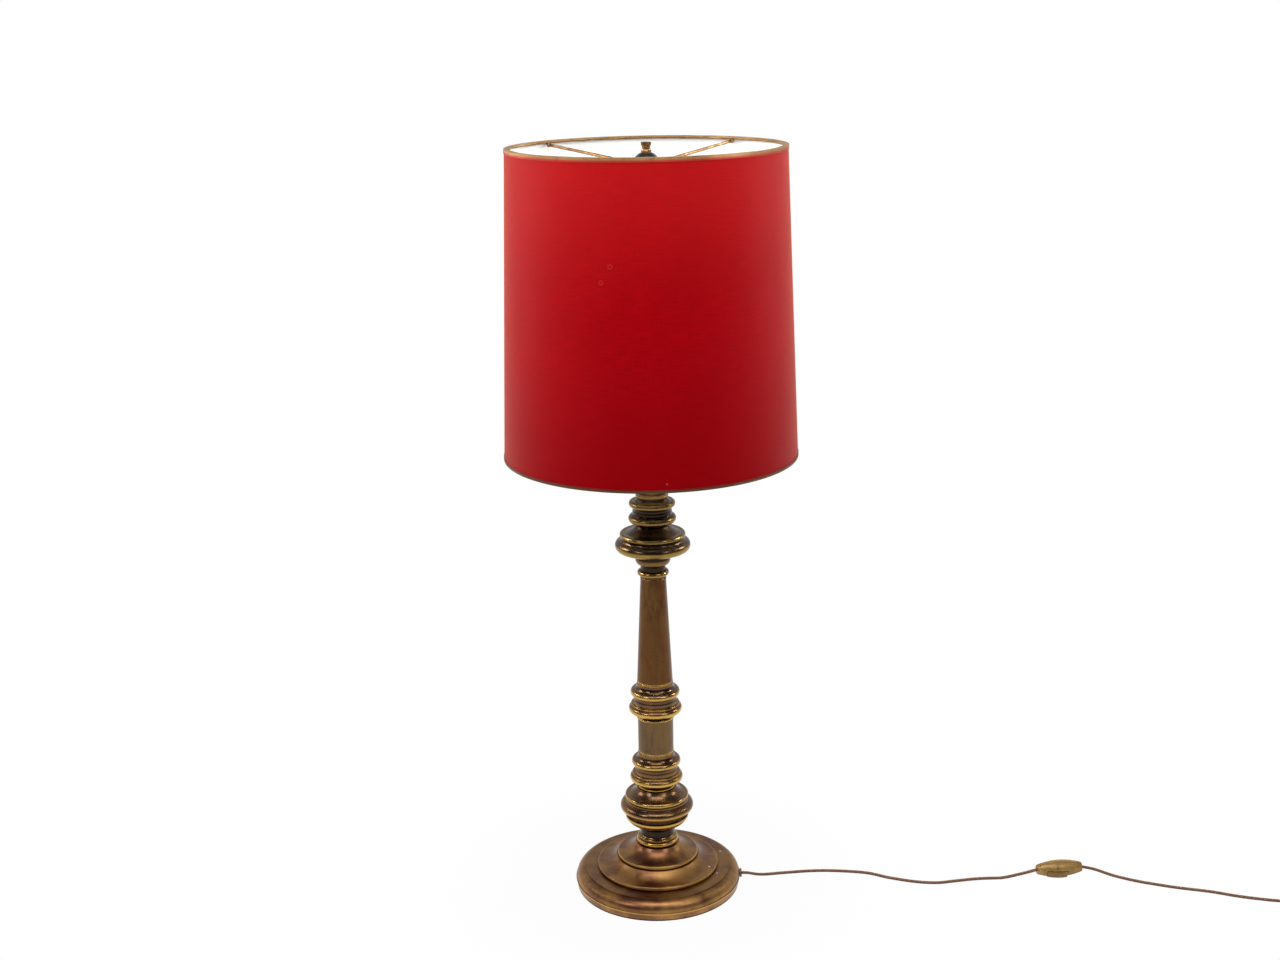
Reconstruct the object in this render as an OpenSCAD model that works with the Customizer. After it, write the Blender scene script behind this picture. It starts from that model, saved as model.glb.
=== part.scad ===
// Tall turned-brass lamp: a stepped round base, a column of stacked turned pieces on one centre tube,
// a drum shade hung on a four-arm spider, and a flat flex with an in-line rocker switch.
// Millimetres, +Z up. The origin is the centre of the base on the floor, and the flex leaves along +X.

/* [Base] */
// Widest diameter, at the top of the rim
base_d = 228; // [216:2:250]
// How far the foot is drawn in below the rim
foot_inset = 2; // [0.5:0.5:4]
// Height of the rim
rim_h = 12; // [9:0.5:16]
// Radius of the quarter-round above the rim
ovolo_r = 13.5; // [11:0.5:15]
// Width of the flat ledge inside the quarter-round
ledge_w = 17; // [13:0.5:20]
// Height of the lip that each tier starts with
lip_h = 6; // [5:0.5:8]
// Rise of the lower dished tier
lower_tier_h = 10; // [8:0.5:13]
// Width of the lower dished tier
lower_tier_w = 28; // [25:0.5:30]
// Rise of the upper dished tier
upper_tier_h = 13; // [10:0.5:16]
// Least wall of the hollow base
base_wall = 2.5; // [2:0.25:3]
// Thickness of the board that closes the base
cover_t = 2.5; // [2:0.25:4]
// Thickness of the felt under it
felt_t = 2.5; // [2:0.25:4]
// Height of the hole for the flex above the floor
inlet_z = 9.5; // [9:0.5:10]

/* [Column] */
// Height of the waisted neck on the base
neck_h = 28; // [25:0.5:34]
// Diameter of the neck's lower ring
neck_ring_d = 57; // [53:0.5:59]
// Height of the big knop
knop_h = 38; // [34:1:46]
// Widest diameter of the knop
knop_d = 100; // [92:1:110]
// Height of the dish on the knop
dish_h = 17; // [15:0.5:22]
// Diameter of the dish
dish_d = 87; // [80:1:90]
// Height of each two-bead collar
collar_h = 51; // [47:1:60]
// Widest diameter of a collar
collar_d = 72; // [68:1:80]
// Height of the short sleeve between the collars
sleeve_h = 50.5; // [40:0.5:80]
// Diameter of the sleeve and of the shaft's foot
sleeve_d = 48; // [46:0.5:50]
// Height of the tapered shaft
shaft_h = 150.5; // [120.5:5:220.5]
// Diameter of the shaft's top
shaft_top_d = 34; // [33:0.5:38]
// Height of the necking above the shaft
necking_h = 32; // [29:0.5:38]
// Diameter of the necking's bead
necking_d = 42; // [40:0.5:46]
// Height of the drip pan's ring
pan_h = 23.5; // [21:0.5:28]
// Widest diameter of the drip pan
pan_d = 100; // [92:1:110]
// Height of the dish in the pan
pan_dish_h = 16.5; // [15:0.5:21]
// Diameter of the dish in the pan
pan_dish_d = 87; // [80:1:90]
// Height of the top collar
top_collar_h = 39; // [36:1:46]
// Widest diameter of the top collar
top_collar_d = 63; // [60:1:68]
// Height of the top neck
top_neck_h = 32; // [26:1:40]
// Diameter of the top neck
top_neck_d = 41; // [39:0.5:43]

/* [Lamp fitting] */
// Outer diameter of the centre tube, the lamp arms and the shade rod
tube_d = 10; // [9.5:0.1:10.5]
// Bore of the centre tube and the lamp arms
tube_bore = 7.2; // [6.6:0.1:7.6]
// Length of tube that stands clear above the column
riser_h = 77; // [60:1:90]
// Diameter of the wiring box
box_d = 40; // [36:1:46]
// Height of the wiring box
box_h = 24; // [22:1:30]
// Distance of each lampholder from the centre
holder_reach = 50; // [46:1:56]
// Bend radius of the lamp arms
arm_bend = 18; // [16:0.5:20]
// Outer diameter of a lampholder
holder_d = 39; // [38:0.5:42]
// Height of a lampholder
holder_h = 56; // [52:1:62]
// Inside diameter of the lamp socket
socket_d = 26.8; // [26.4:0.1:27.2]
// Length of the shade rod from the wiring box to the seat
rod_h = 279; // [263:2:293]

/* [Shade] */
// Top diameter
shade_top_d = 352; // [340:2:364]
// Bottom diameter
shade_bottom_d = 381; // [366:3:400]
// Height of the shade
shade_h = 393; // [375:3:411]
// Thickness of the cloth
cloth_t = 0.8; // [0.6:0.1:1.2]
// Thickness of the white lining
lining_t = 0.8; // [0.6:0.1:1.2]
// Diameter of the two wire rings
wire_d = 3.6; // [3:0.2:4.4]
// Height of the gilt edging at the top
top_edging_h = 5; // [4:0.5:8]
// Height of the gilt edging at the bottom
bottom_edging_h = 3.5; // [3:0.5:8]
// Thickness of the gilt edging
edging_t = 0.5; // [0.4:0.05:0.8]
// How far the spider hub hangs below the top edge
spider_drop = 23.5; // [20:0.5:27]
// Diameter of the spider arms
spider_d = 4; // [3.2:0.2:4.4]
// Diameter of the spider hub
hub_d = 26; // [24:0.5:30]
// Diameter of the domed cap
dome_d = 34; // [31:0.5:37]
// Height of the domed cap
dome_h = 12; // [11.5:0.5:13.5]
// Height of the finial
finial_h = 13; // [12:0.5:19]
// Diameter of the finial's flared top
finial_d = 13; // [12.8:0.2:15]

/* [Flex] */
// Width of the flat flex
flex_w = 5.4; // [5:0.1:6]
// Thickness of the flat flex
flex_t = 2.8; // [2.4:0.1:3.2]
// Mean diameter of the coil that takes up the rest of the flex
coil_d = 60; // [56:1:64]
// Width of the coil's section
coil_w = 23; // [21:0.5:24]
// Height of the coil's section
coil_h = 5.8; // [5.4:0.2:6.4]
// Thickness of the coil's tie
tie_t = 0.6; // [0.4:0.1:1]

/* [Switch] */
// Length of the switch
switch_l = 63; // [60:1:66]
// Diameter at the middle of the switch
switch_d = 23; // [22:0.5:25]
// Diameter at the ends of the switch
switch_end_d = 13; // [12:0.5:14]
// Length of the rocker
rocker_l = 28; // [25:0.5:29]
// Width of the rocker
rocker_w = 9; // [8:0.25:10]
// Tilt of the rocker to each side of its middle; it is drawn tilted, its far end out
rocker_tilt = 6; // [4:0.5:7]

/* [Plug] */
// Width of the plug body
plug_w = 35; // [33:0.5:38]
// Thickness of the plug body
plug_t = 13.6; // [13:0.2:15]
// Length of the plug body without its strain relief
plug_l = 36; // [33:0.5:40]
// Diameter of a plug pin
pin_d = 4; // [3.8:0.1:4.2]
// Length of a plug pin
pin_l = 19; // [18:0.5:20]
// Distance between the plug pins
pin_pitch = 18.6; // [18:0.1:19.2]
// Length of the pin's root inside the plug
root_l = 8; // [6:0.5:10]
// Diameter of the pin's root
root_d = 5.2; // [4.8:0.2:6]

/* [Hidden] */
$fn = 72;

brass = [0.55, 0.40, 0.18];
dark_brass = [0.36, 0.25, 0.14];
steel = [0.60, 0.60, 0.58];
iron = [0.25, 0.25, 0.26];
cream = [0.90, 0.88, 0.82];
red = [0.62, 0.05, 0.06];
gilt = [0.66, 0.49, 0.22];
brown = [0.42, 0.26, 0.15];

// Free space between a turned piece and the tube it is threaded on
slip = 0.2;
// Free space between parts that turn past each other
turn_gap = 0.3;
// Glue line between the layers of the shade
glue = 0.05;
// Share of a bead's radius that its flat root reaches
bead_root = 0.9;
// Floor thickness left at the top of each hollow turned piece
plate_t = 4;
// How far the fine rings at the ends of the sleeve and the shaft stand proud
ring_proud = 0.4;

tube_r = tube_d / 2;
bore_r = tube_r + slip;

// Nut for the lamp tube, across flats and height
nut_af = 17;
nut_h = 5;

// Base radii, from the rim inwards
base_r = base_d / 2;
foot_r = base_r - foot_inset;
ledge_r = base_r - ovolo_r;
lower_tier_r = ledge_r - ledge_w;
upper_tier_r = lower_tier_r - lower_tier_w;
foot_z = 1;
ledge_z = rim_h + ovolo_r + 2.5;
lower_tier_z = ledge_z + lip_h;
upper_tier_z = lower_tier_z + lower_tier_h;
base_top = upper_tier_z + lip_h + upper_tier_h;
hub_r = neck_ring_d / 2 + 1.5;
base_inner_r = base_r - foot_inset - base_wall - 1;
cover_r = base_inner_r - 0.8;
cover_z = felt_t;
weight_z = cover_z + cover_t;
ledge_roof_z = ledge_z - base_wall;
boss_roof_z = upper_tier_z + lip_h - base_wall;
weight_t = 9;
boss_r = 32;
pocket_r = 20;
pocket_z = weight_z + 25;
tube_foot_z = pocket_z - nut_h - 4;
inlet_r = 4.4;

// Heights up the column, each piece standing on the one below
neck_z = base_top;
knop_z = neck_z + neck_h;
dish_z = knop_z + knop_h;
lower_collar_z = dish_z + dish_h;
sleeve_z = lower_collar_z + collar_h;
upper_collar_z = sleeve_z + sleeve_h;
shaft_z = upper_collar_z + collar_h;
necking_z = shaft_z + shaft_h;
pan_z = necking_z + necking_h;
pan_dish_z = pan_z + pan_h;
top_collar_z = pan_dish_z + pan_dish_h;
top_neck_z = top_collar_z + top_collar_h;
column_top = top_neck_z + top_neck_h;

// Radii where one piece stands on the next
sleeve_r = sleeve_d / 2;
waist_r = neck_ring_d / 2 - 5;
collar_seat_r = sleeve_r + 2;
necking_r = shaft_top_d / 2 - 0.4;
cup_r = necking_r + 6.8;
top_neck_r = top_neck_d / 2;

// Heights inside the shade
box_z = column_top + nut_h + riser_h;
box_wall = 3;
arm_z = box_z + 12;
holder_z = arm_z + arm_bend + 4;
arm_top = holder_z + 9;
lid_z = box_z + box_h;
lid_t = 4;
seat_z = lid_z + lid_t + rod_h;
seat_t = 3;
hub_z = seat_z + seat_t;
wire_r = wire_d / 2;
wall_t = cloth_t + glue + lining_t;
top_wire_r = shade_top_d / 2 - wall_t - wire_r - 0.1;
knob_r = spider_d / 2 + 1;
spider_hold = 7;
spider_start = hub_d / 2 - spider_hold;
spider_run = top_wire_r - wire_r - spider_start;
spider_rise = spider_drop - wire_r - knob_r - 0.1;
arm_lift = (dome_d / 2 - spider_start) * spider_rise / spider_run;
hub_t = ceil(10 * (spider_d + 2 * (arm_lift + turn_gap))) / 10;
dome_z = hub_z + hub_t;
finial_z = dome_z + dome_h;
shoulder_z = dome_z + dome_h - 4;
rod_top = finial_z + finial_h - 4.5;
stud_r = 3;
dome_top_r = 7.4;
shade_top = hub_z + hub_t / 2 + spider_drop;
shade_bottom = shade_top - shade_h;

// Layers of a lampholder
holder_r = holder_d / 2;
holder_wall = 2.2;
holder_cap_h = 17;
insert_r = holder_r - holder_wall - 0.4;
insert_foot = 12;
socket_foot = insert_foot + 14;
contact_floor = 4;
screw_shell_t = 0.8;
shell_lift = 3;
mouth_lip = 2;

// Shade wall
shade_top_r = shade_top_d / 2;
shade_bottom_r = shade_bottom_d / 2;
shade_lean = (shade_bottom_r - shade_top_r) / shade_h;
bottom_wire_r = shade_bottom_r - wall_t - wire_r - 0.2;
spider_turn = 48;
spider_angles = [for (k = [0 : 3]) spider_turn + 90 * k];

// Flex route over the floor, lamp to switch and switch to coil
flex_z = flex_t / 2;
bush_face = base_r + 2.5;
switch_at = [558.5, -7.6];
switch_yaw = 5.8;
switch_roll = 112;
switch_z = switch_d / 2;
switch_dir = [cos(switch_yaw), sin(switch_yaw)];
switch_near = switch_at - switch_dir * switch_l / 2;
switch_far = switch_at + switch_dir * switch_l / 2;
lamp_route = [
    [bush_face, 0, inlet_z], [bush_face + 9, 0.5, inlet_z - 0.8], [146, 5, 3.4], [185, 13, flex_z],
    [235, 16, flex_z], [290, 8, flex_z], [321, -7, flex_z], [357, -20, flex_z], [386, -24, flex_z],
    [412, -20, flex_z], [444, -15, flex_z], [476, -14, flex_z], [504, -13, 6.5],
    [switch_near.x, switch_near.y, switch_z]
];
plug_route = [
    [switch_far.x, switch_far.y, switch_z], [608, -7.5, 8.6], [634, -18, 3.4], [668, -33, flex_z],
    [709, -49, flex_z], [752, -62, flex_z], [781, -74, flex_z], [808, -83, flex_z], [838, -90, flex_z],
    [862, -89, flex_z + tie_t]
];
coil_at = [884, -127];
coil_r = coil_d / 2;
coil_exit = coil_at + [coil_r + 3 * coil_w / 8, -14];
coil_exit_z = tie_t + 3 * flex_z;
plug_at = [coil_exit.x - 2, coil_exit.y - 53];
relief_l = 22;
tail_route = [
    [coil_exit.x, coil_exit.y, coil_exit_z], [coil_exit.x - 0.5, coil_exit.y - 9, coil_exit_z + 0.5],
    [plug_at.x, plug_at.y + relief_l + 9, plug_t / 2], [plug_at.x, plug_at.y + relief_l, plug_t / 2]
];
flex_sides = 8;

// Switch shells
switch_wall = 2;
parting_w = 0.7;
parting_t = 0.4;
switch_r = switch_d / 2;
switch_end_r = switch_end_d / 2;
rocker_x = -5;
rocker_gap = 0.7;
rocker_proud = 1.6;
rocker_pivot = switch_r - 3.6;
rocker_pin_r = 1.2;
rocker_fit = 0.08;
screw_x = 25.5;
screw_r = 1.5;
post_r = 2.6;

// Centre of a circle of radius rho through p and q, to the right of the way from p to q
function arc_centre(p, q, rho) =
    let (way = q - p, span = norm(way), side = [way.y, -way.x] / span)
    (p + q) / 2 + side * sqrt(rho * rho - span * span / 4);

// Point t of the way along the smooth curve from point i to the next
function curve_point(p, i, t) =
    let (a = p[max(i - 1, 0)], b = p[i], c = p[i + 1], d = p[min(i + 2, len(p) - 1)])
    b + (c - a) * t / 2 + (2 * a - 5 * b + 4 * c - d) * t * t / 2 + (3 * b - a - 3 * c + d) * t * t * t / 2;

// Curve through every point of a route
function route_curve(p, steps) = concat(
    [for (i = [0 : len(p) - 2]) for (s = [0 : steps - 1]) curve_point(p, i, s / steps)],
    [p[len(p) - 1]]
);

function unit(v) = v / norm(v);

// Outline of the flex across its way, level with the floor
function flex_ring(path, i) =
    let (
        way = unit(path[min(i + 1, len(path) - 1)] - path[max(i - 1, 0)]),
        side = unit(cross([0, 0, 1], way)),
        up = cross(way, side)
    )
    [for (k = [0 : flex_sides - 1])
        let (a = 360 * (k + 0.5) / flex_sides)
        path[i] + side * cos(a) * flex_w / 2 + up * sin(a) * flex_t / 2];

// Solid flex along a path
module flex(path) {
    last = len(path) - 1;
    n = flex_sides;
    polyhedron(
        points = [for (i = [0 : last]) each flex_ring(path, i)],
        faces = concat(
            [[for (k = [0 : n - 1]) k]],
            [[for (k = [0 : n - 1]) last * n + n - 1 - k]],
            [for (i = [0 : last - 1]) for (k = [0 : n - 1]) [i * n + k, (i + 1) * n + k, (i + 1) * n + (k + 1) % n]],
            [for (i = [0 : last - 1]) for (k = [0 : n - 1]) [i * n + k, (i + 1) * n + (k + 1) % n, i * n + (k + 1) % n]]
        )
    );
}

// Flat-sided ring of a turned outline, from the tube's bore out to r
module band(r, z0, z1) {
    translate([bore_r, z0])
    square([r - bore_r, z1 - z0]);
}

// Half-round moulding of a turned outline
module bead(r, z, rho) {
    translate([r - rho, z])
    circle(rho);
    band(r - rho, z - bead_root * rho, z + bead_root * rho);
}

// Hollow moulding that rises from an outer point p to an inner point q
module cove(p, q, bend, root = 2) {
    rho = bend * norm(q - p);
    difference() {
        band(p.x, p.y - root, q.y);
        translate(arc_centre(p, q, rho))
        circle(rho);
    }
}

// Hollow moulding that spreads from an inner point p up to an outer point q
module undercut(p, q, bend, root = 2) {
    rho = bend * norm(q - p);
    difference() {
        band(q.x, p.y, q.y + root);
        translate(arc_centre(p, q, rho))
        circle(rho);
    }
}

// Turned piece at height z, hollowed from below to core_h
module turned(z, core_r, core_h) {
    rotate_extrude()
    translate([0, z])
    difference() {
        children();
        translate([bore_r - 1, -1])
        square([core_r - bore_r + 1, core_h + 1]);
    }
}

// Rod from [x, z] straight up, and its level reach and bend back towards the middle
module bent_rod(r, from_x, reach, level, bend, top) {
    translate([from_x, 0, level])
    rotate([0, 90, 0])
    cylinder(r = r, h = reach - bend - from_x);
    translate([reach - bend, 0, level + bend])
    rotate([90, 0, 0])
    rotate([0, 0, -90])
    rotate_extrude(angle = 90)
    translate([bend, 0])
    circle(r);
    translate([reach, 0, level + bend])
    cylinder(r = r, h = top - level - bend);
}

module base_shell() {
    color(brass)
    difference() {
        rotate_extrude()
        difference() {
            union() {
                polygon([[bore_r, foot_z], [foot_r, foot_z], [base_r, rim_h], [bore_r, rim_h]]);
                band(ledge_r, foot_z, ledge_z);
                intersection() {
                    translate([ledge_r - 1, rim_h + 1])
                    circle(ovolo_r);
                    band(base_r, rim_h - 2, ledge_z + 2);
                }
                bead(lower_tier_r, ledge_z + lip_h / 2, lip_h / 2);
                cove([lower_tier_r - lip_h / 2, lower_tier_z], [upper_tier_r + 1.5, upper_tier_z], 1.1, lip_h);
                bead(upper_tier_r, upper_tier_z + lip_h / 2, lip_h / 2);
                cove([upper_tier_r - lip_h / 2, upper_tier_z + lip_h], [hub_r, base_top], 1.1, lip_h);
                band(upper_tier_r - lip_h, foot_z, upper_tier_z + lip_h);
                band(lower_tier_r - lip_h, foot_z, lower_tier_z);
            }
            base_hollow();
        }
        translate([base_inner_r - 4, 0, inlet_z])
        rotate([0, 90, 0])
        cylinder(r = inlet_r + slip, h = 20);
    }
}

// Stepped hollow under the base
module base_hollow() {
    low = foot_z - 1;
    translate([0, low])
    square([base_inner_r, rim_h - low]);
    translate([0, low])
    square([ledge_r - base_wall, ledge_roof_z - low]);
    translate([0, low])
    square([lower_tier_r - lip_h - 1, lower_tier_z - base_wall - low]);
    translate([0, low])
    square([upper_tier_r - lip_h, boss_roof_z - low]);
    translate([0, low])
    square([bore_r, base_top + 1 - low]);
}

// Iron disc with a boss that the lowest nut pulls up against the shell
module base_weight() {
    color(iron)
    difference() {
        rotate_extrude()
        difference() {
            union() {
                translate([0, weight_z])
                square([ledge_r - base_wall - 1, weight_t]);
                translate([0, weight_z])
                square([boss_r, boss_roof_z - weight_z]);
            }
            translate([0, weight_z - 1])
            square([pocket_r, pocket_z - weight_z + 1]);
            translate([0, weight_z - 1])
            square([bore_r, base_top]);
        }
        translate([0, -5, weight_z - 1])
        cube([base_d, 10, inlet_z + 5 - weight_z + 1]);
    }
}

module base_cover() {
    color(brown)
    translate([0, 0, cover_z])
    cylinder(r = cover_r, h = cover_t);
}

module base_felt() {
    color([0.12, 0.2, 0.14])
    cylinder(r = cover_r - 1, h = felt_t);
}

module flex_bush() {
    collar_x = base_r + 0.1;
    color(brown)
    translate([0, 0, inlet_z])
    rotate([0, 90, 0])
    difference() {
        union() {
            translate([0, 0, base_inner_r - 1])
            cylinder(r = inlet_r, h = bush_face - base_inner_r + 1);
            translate([0, 0, collar_x])
            cylinder(r = inlet_r + 1.6, h = bush_face - collar_x);
        }
        translate([0, 0, base_inner_r - 2])
        cylinder(r = flex_w / 2 - 0.2, h = bush_face - base_inner_r + 4);
    }
}

module centre_tube() {
    color(steel)
    translate([0, 0, tube_foot_z])
    difference() {
        cylinder(r = tube_r, h = box_z + 8 - tube_foot_z);
        translate([0, 0, -1])
        cylinder(r = tube_bore / 2, h = box_z);
    }
}

module hex_nut() {
    difference() {
        cylinder(d = nut_af / cos(30), h = nut_h, $fn = 6);
        translate([0, 0, -1])
        cylinder(r = tube_r, h = nut_h + 2);
    }
}

module hex_nuts() {
    color(brass)
    for (z = [pocket_z - nut_h, column_top, box_z - nut_h, lid_z + lid_t, seat_z - nut_h])
        translate([0, 0, z])
        hex_nut();
}

module neck() {
    ring_r = neck_ring_d / 2;
    flare_r = ring_r - 1.6;
    color(brass)
    turned(neck_z, waist_r - 4, neck_h - plate_t) {
        band(waist_r, 0, neck_h);
        bead(ring_r, 0.13 * neck_h, 0.13 * neck_h);
        bead(ring_r - 1.4, 0.335 * neck_h, 0.09 * neck_h);
        cove([ring_r - 2.6, 0.41 * neck_h], [waist_r, 0.6 * neck_h], 0.8, 3);
        undercut([waist_r, 0.64 * neck_h], [flare_r, 0.95 * neck_h], 0.8, 0.05 * neck_h);
    }
}

module knop() {
    r = knop_d / 2;
    bowl_h = 0.28 * knop_h;
    bowl_r = r - 6.8;
    foot_r = neck_ring_d / 2 + 1.5;
    color(brass)
    difference() {
        turned(knop_z, foot_r - 7, knop_h - plate_t)
        knop_outline(r, bowl_r, bowl_h, foot_r);
        translate([0, 0, knop_z + bowl_h])
        cylinder(r = bowl_r - 9, h = 0.5 * knop_h);
    }
}

// Outline of the knop: a shallow bowl, a fillet, a groove, the big bead and a cove up to the dish
module knop_outline(r, bowl_r, bowl_h, foot_r) {
    rho = 0.63 * knop_h;
    lip_z = 0.36 * knop_h;
    bead_z = 0.71 * knop_h;
    union() {
        intersection() {
            translate(arc_centre([bowl_r, bowl_h], [foot_r, 0], rho))
            circle(rho);
            band(bowl_r, 0, bowl_h);
        }
        band(foot_r - 0.5, 0, bead_z);
        band(bowl_r, bowl_h - 0.1, lip_z);
        band(bowl_r - 2.4, bowl_h, bead_z);
        bead(r, bead_z, 0.19 * knop_h);
        cove([r - 2.5, 0.83 * knop_h], [dish_d / 2 - 1.5, knop_h], 0.75, 4);
    }
}

module knop_dish() {
    r = dish_d / 2;
    color(brass)
    turned(dish_z, collar_seat_r - 6, dish_h - plate_t) {
        bead(r, 0.23 * dish_h, 0.21 * dish_h);
        band(r - 3.6, 0, 0.4 * dish_h);
        cove([r - 2, 0.37 * dish_h], [collar_seat_r + 1, dish_h], 1.1);
    }
}

// Two beads over a foot ring, the upper one smaller
module collar(z) {
    r = collar_d / 2;
    top_r = r - 2.7;
    groove_r = r - 6.6;
    color(brass)
    turned(z, sleeve_r - 4, collar_h - plate_t) {
        band(sleeve_r - 1, 0, collar_h);
        bead(collar_seat_r, 0.041 * collar_h, 0.041 * collar_h);
        undercut([collar_seat_r - 1.5, 0.106 * collar_h], [r - 2.6, 0.212 * collar_h], 0.75);
        bead(r, 0.282 * collar_h, 0.109 * collar_h);
        cove([r - 2.2, 0.357 * collar_h], [groove_r, 0.54 * collar_h], 0.75, 4);
        bead(r - 3.1, 0.41 * collar_h, 0.027 * collar_h);
        undercut([groove_r, 0.54 * collar_h], [top_r - 1.9, 0.683 * collar_h], 0.8);
        bead(top_r, 0.745 * collar_h, 0.097 * collar_h);
        cove([top_r - 1.9, 0.808 * collar_h], [sleeve_r + 0.6, collar_h], 0.75, 4);
    }
}

module lower_collar() {
    collar(lower_collar_z);
}

module upper_collar() {
    collar(upper_collar_z);
}

module sleeve() {
    color(dark_brass)
    turned(sleeve_z, sleeve_r - 5, sleeve_h - plate_t) {
        band(sleeve_r, 0, sleeve_h);
        bead(sleeve_r + ring_proud, 2, 2);
    }
}

module shaft() {
    foot_h = 4;
    top_h = 3;
    top_r = shaft_top_d / 2;
    wall = 3.5;
    core_top = shaft_h - plate_t;
    color(dark_brass)
    turned(shaft_z, top_r - wall, core_top)
    difference() {
        union() {
            band(sleeve_r, 0, foot_h);
            bead(sleeve_r + ring_proud, foot_h / 2, foot_h / 2);
            polygon([[bore_r, foot_h - 1], [sleeve_r, foot_h - 1], [top_r, shaft_h], [bore_r, shaft_h]]);
            bead(top_r + ring_proud, shaft_h - top_h / 2, top_h / 2);
        }
        polygon([[bore_r, -1], [sleeve_r - wall, -1], [top_r - wall, core_top], [bore_r, core_top]]);
    }
}

module necking() {
    bead_r = 0.12 * necking_h;
    cup_z = 0.77 * necking_h;
    cup_rho = 0.24 * necking_h;
    color(brass)
    turned(necking_z, necking_r - 4.5, necking_h - plate_t) {
        band(necking_r, 0, necking_h);
        bead(necking_d / 2, 0.19 * necking_h, bead_r);
        undercut([necking_r, 0.36 * necking_h], [cup_r - 4.6, 0.57 * necking_h], 0.8);
        intersection() {
            translate([cup_r - cup_rho, cup_z])
            circle(cup_rho);
            band(cup_r + 1, 0, cup_z + 1);
        }
        band(cup_r, cup_z, necking_h);
    }
}

module pan_ring() {
    r = pan_d / 2;
    color(brass)
    turned(pan_z, cup_r - 6, pan_h - plate_t) {
        band(cup_r + 0.8, 0, 0.25 * pan_h);
        undercut([cup_r - 0.5, 0.09 * pan_h], [r - 5.5, 0.3 * pan_h], 1.1, 5);
        bead(r, 0.53 * pan_h, 0.325 * pan_h);
        cove([r - 3.5, 0.8 * pan_h], [pan_dish_d / 2 - 1.4, pan_h], 0.75, 4);
    }
}

module pan_dish() {
    r = pan_dish_d / 2;
    seat_r = top_neck_r + 1.6;
    color(brass)
    turned(pan_dish_z, seat_r - 6, pan_dish_h - plate_t) {
        bead(r, 0.205 * pan_dish_h, 0.195 * pan_dish_h);
        band(r - 4, 0, 0.38 * pan_dish_h);
        cove([r - 2, 0.32 * pan_dish_h], [seat_r, pan_dish_h], 1.1);
    }
}

module top_collar() {
    r = top_collar_d / 2;
    top_r = r - 0.9;
    foot_r = top_neck_r + 1;
    groove_r = r - 5.2;
    color(brass)
    turned(top_collar_z, top_neck_r - 6, top_collar_h - plate_t) {
        band(foot_r - 1, 0, top_collar_h);
        undercut([foot_r, 0.02 * top_collar_h], [r - 2.4, 0.14 * top_collar_h], 0.8);
        bead(r, 0.235 * top_collar_h, 0.14 * top_collar_h);
        cove([r - 2.4, 0.32 * top_collar_h], [groove_r, 0.49 * top_collar_h], 0.75, 4);
        undercut([groove_r, 0.49 * top_collar_h], [top_r - 2.2, 0.67 * top_collar_h], 0.8);
        bead(top_r, 0.755 * top_collar_h, 0.108 * top_collar_h);
        cove([top_r - 2.2, 0.84 * top_collar_h], [top_neck_r + 0.6, top_collar_h], 0.62, 4);
    }
}

module top_neck() {
    groove_z = 6.5;
    color(brass)
    turned(top_neck_z, top_neck_r - 5, top_neck_h - plate_t) {
        difference() {
            band(top_neck_r, 0, top_neck_h);
            translate([top_neck_r + 0.4, groove_z])
            circle(1.3);
        }
        bead(top_neck_r + 1.2, 1.8, 1.8);
        bead(top_neck_r + 1, top_neck_h - 2.2, 2);
    }
}

module wiring_box() {
    r = box_d / 2;
    color(brass)
    difference() {
        translate([0, 0, box_z])
        cylinder(r = r, h = box_h);
        translate([0, 0, box_z + box_wall])
        cylinder(r = r - box_wall, h = box_h);
        translate([0, 0, box_z - 1])
        cylinder(r = bore_r, h = box_h);
        for (side = [-1, 1])
            translate([side * (r - box_wall - 1), 0, arm_z])
            rotate([0, side * 90, 0])
            cylinder(r = bore_r, h = box_wall + 3);
    }
}

module box_lid() {
    r = box_d / 2;
    color(brass)
    difference() {
        union() {
            translate([0, 0, lid_z])
            cylinder(r = r + 0.8, h = lid_t);
            translate([0, 0, lid_z - 3])
            cylinder(r = r - box_wall - slip, h = 3.5);
        }
        translate([0, 0, lid_z - 4])
        cylinder(r = bore_r, h = lid_t + 6);
    }
}

module lamp_arm() {
    start = box_d / 2 - box_wall - 2;
    difference() {
        bent_rod(tube_r, start, holder_reach, arm_z, arm_bend, arm_top);
        bent_rod(tube_bore / 2, start - 1, holder_reach, arm_z, arm_bend, arm_top + 1);
    }
}

module lamp_arm_left() {
    color(brass)
    mirror([1, 0, 0])
    lamp_arm();
}

module lamp_arm_right() {
    color(brass)
    lamp_arm();
}

module holder_cap() {
    neck_r = tube_r + 4;
    cone_z = 3;
    rotate_extrude()
    difference() {
        union() {
            band(neck_r, 0, cone_z + 1);
            polygon([
                [bore_r, cone_z], [neck_r + 2, cone_z], [holder_r, insert_foot - 2],
                [holder_r, holder_cap_h], [bore_r, holder_cap_h]
            ]);
        }
        translate([bore_r - 1, insert_foot])
        square([insert_r + slip - bore_r + 1, holder_cap_h]);
    }
}

module holder_cap_left() {
    color(cream)
    translate([-holder_reach, 0, holder_z])
    holder_cap();
}

module holder_cap_right() {
    color(cream)
    translate([holder_reach, 0, holder_z])
    holder_cap();
}

module holder_shell() {
    difference() {
        translate([0, 0, holder_cap_h])
        cylinder(r = holder_r, h = holder_h - holder_cap_h);
        translate([0, 0, holder_cap_h - 1])
        cylinder(r = holder_r - holder_wall, h = holder_h - holder_cap_h - mouth_lip + 1);
        translate([0, 0, holder_h - mouth_lip - 1])
        cylinder(r = socket_d / 2 + 1.2, h = mouth_lip + 2);
    }
}

module holder_shell_left() {
    color(cream)
    translate([-holder_reach, 0, holder_z])
    holder_shell();
}

module holder_shell_right() {
    color(cream)
    translate([holder_reach, 0, holder_z])
    holder_shell();
}

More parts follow.
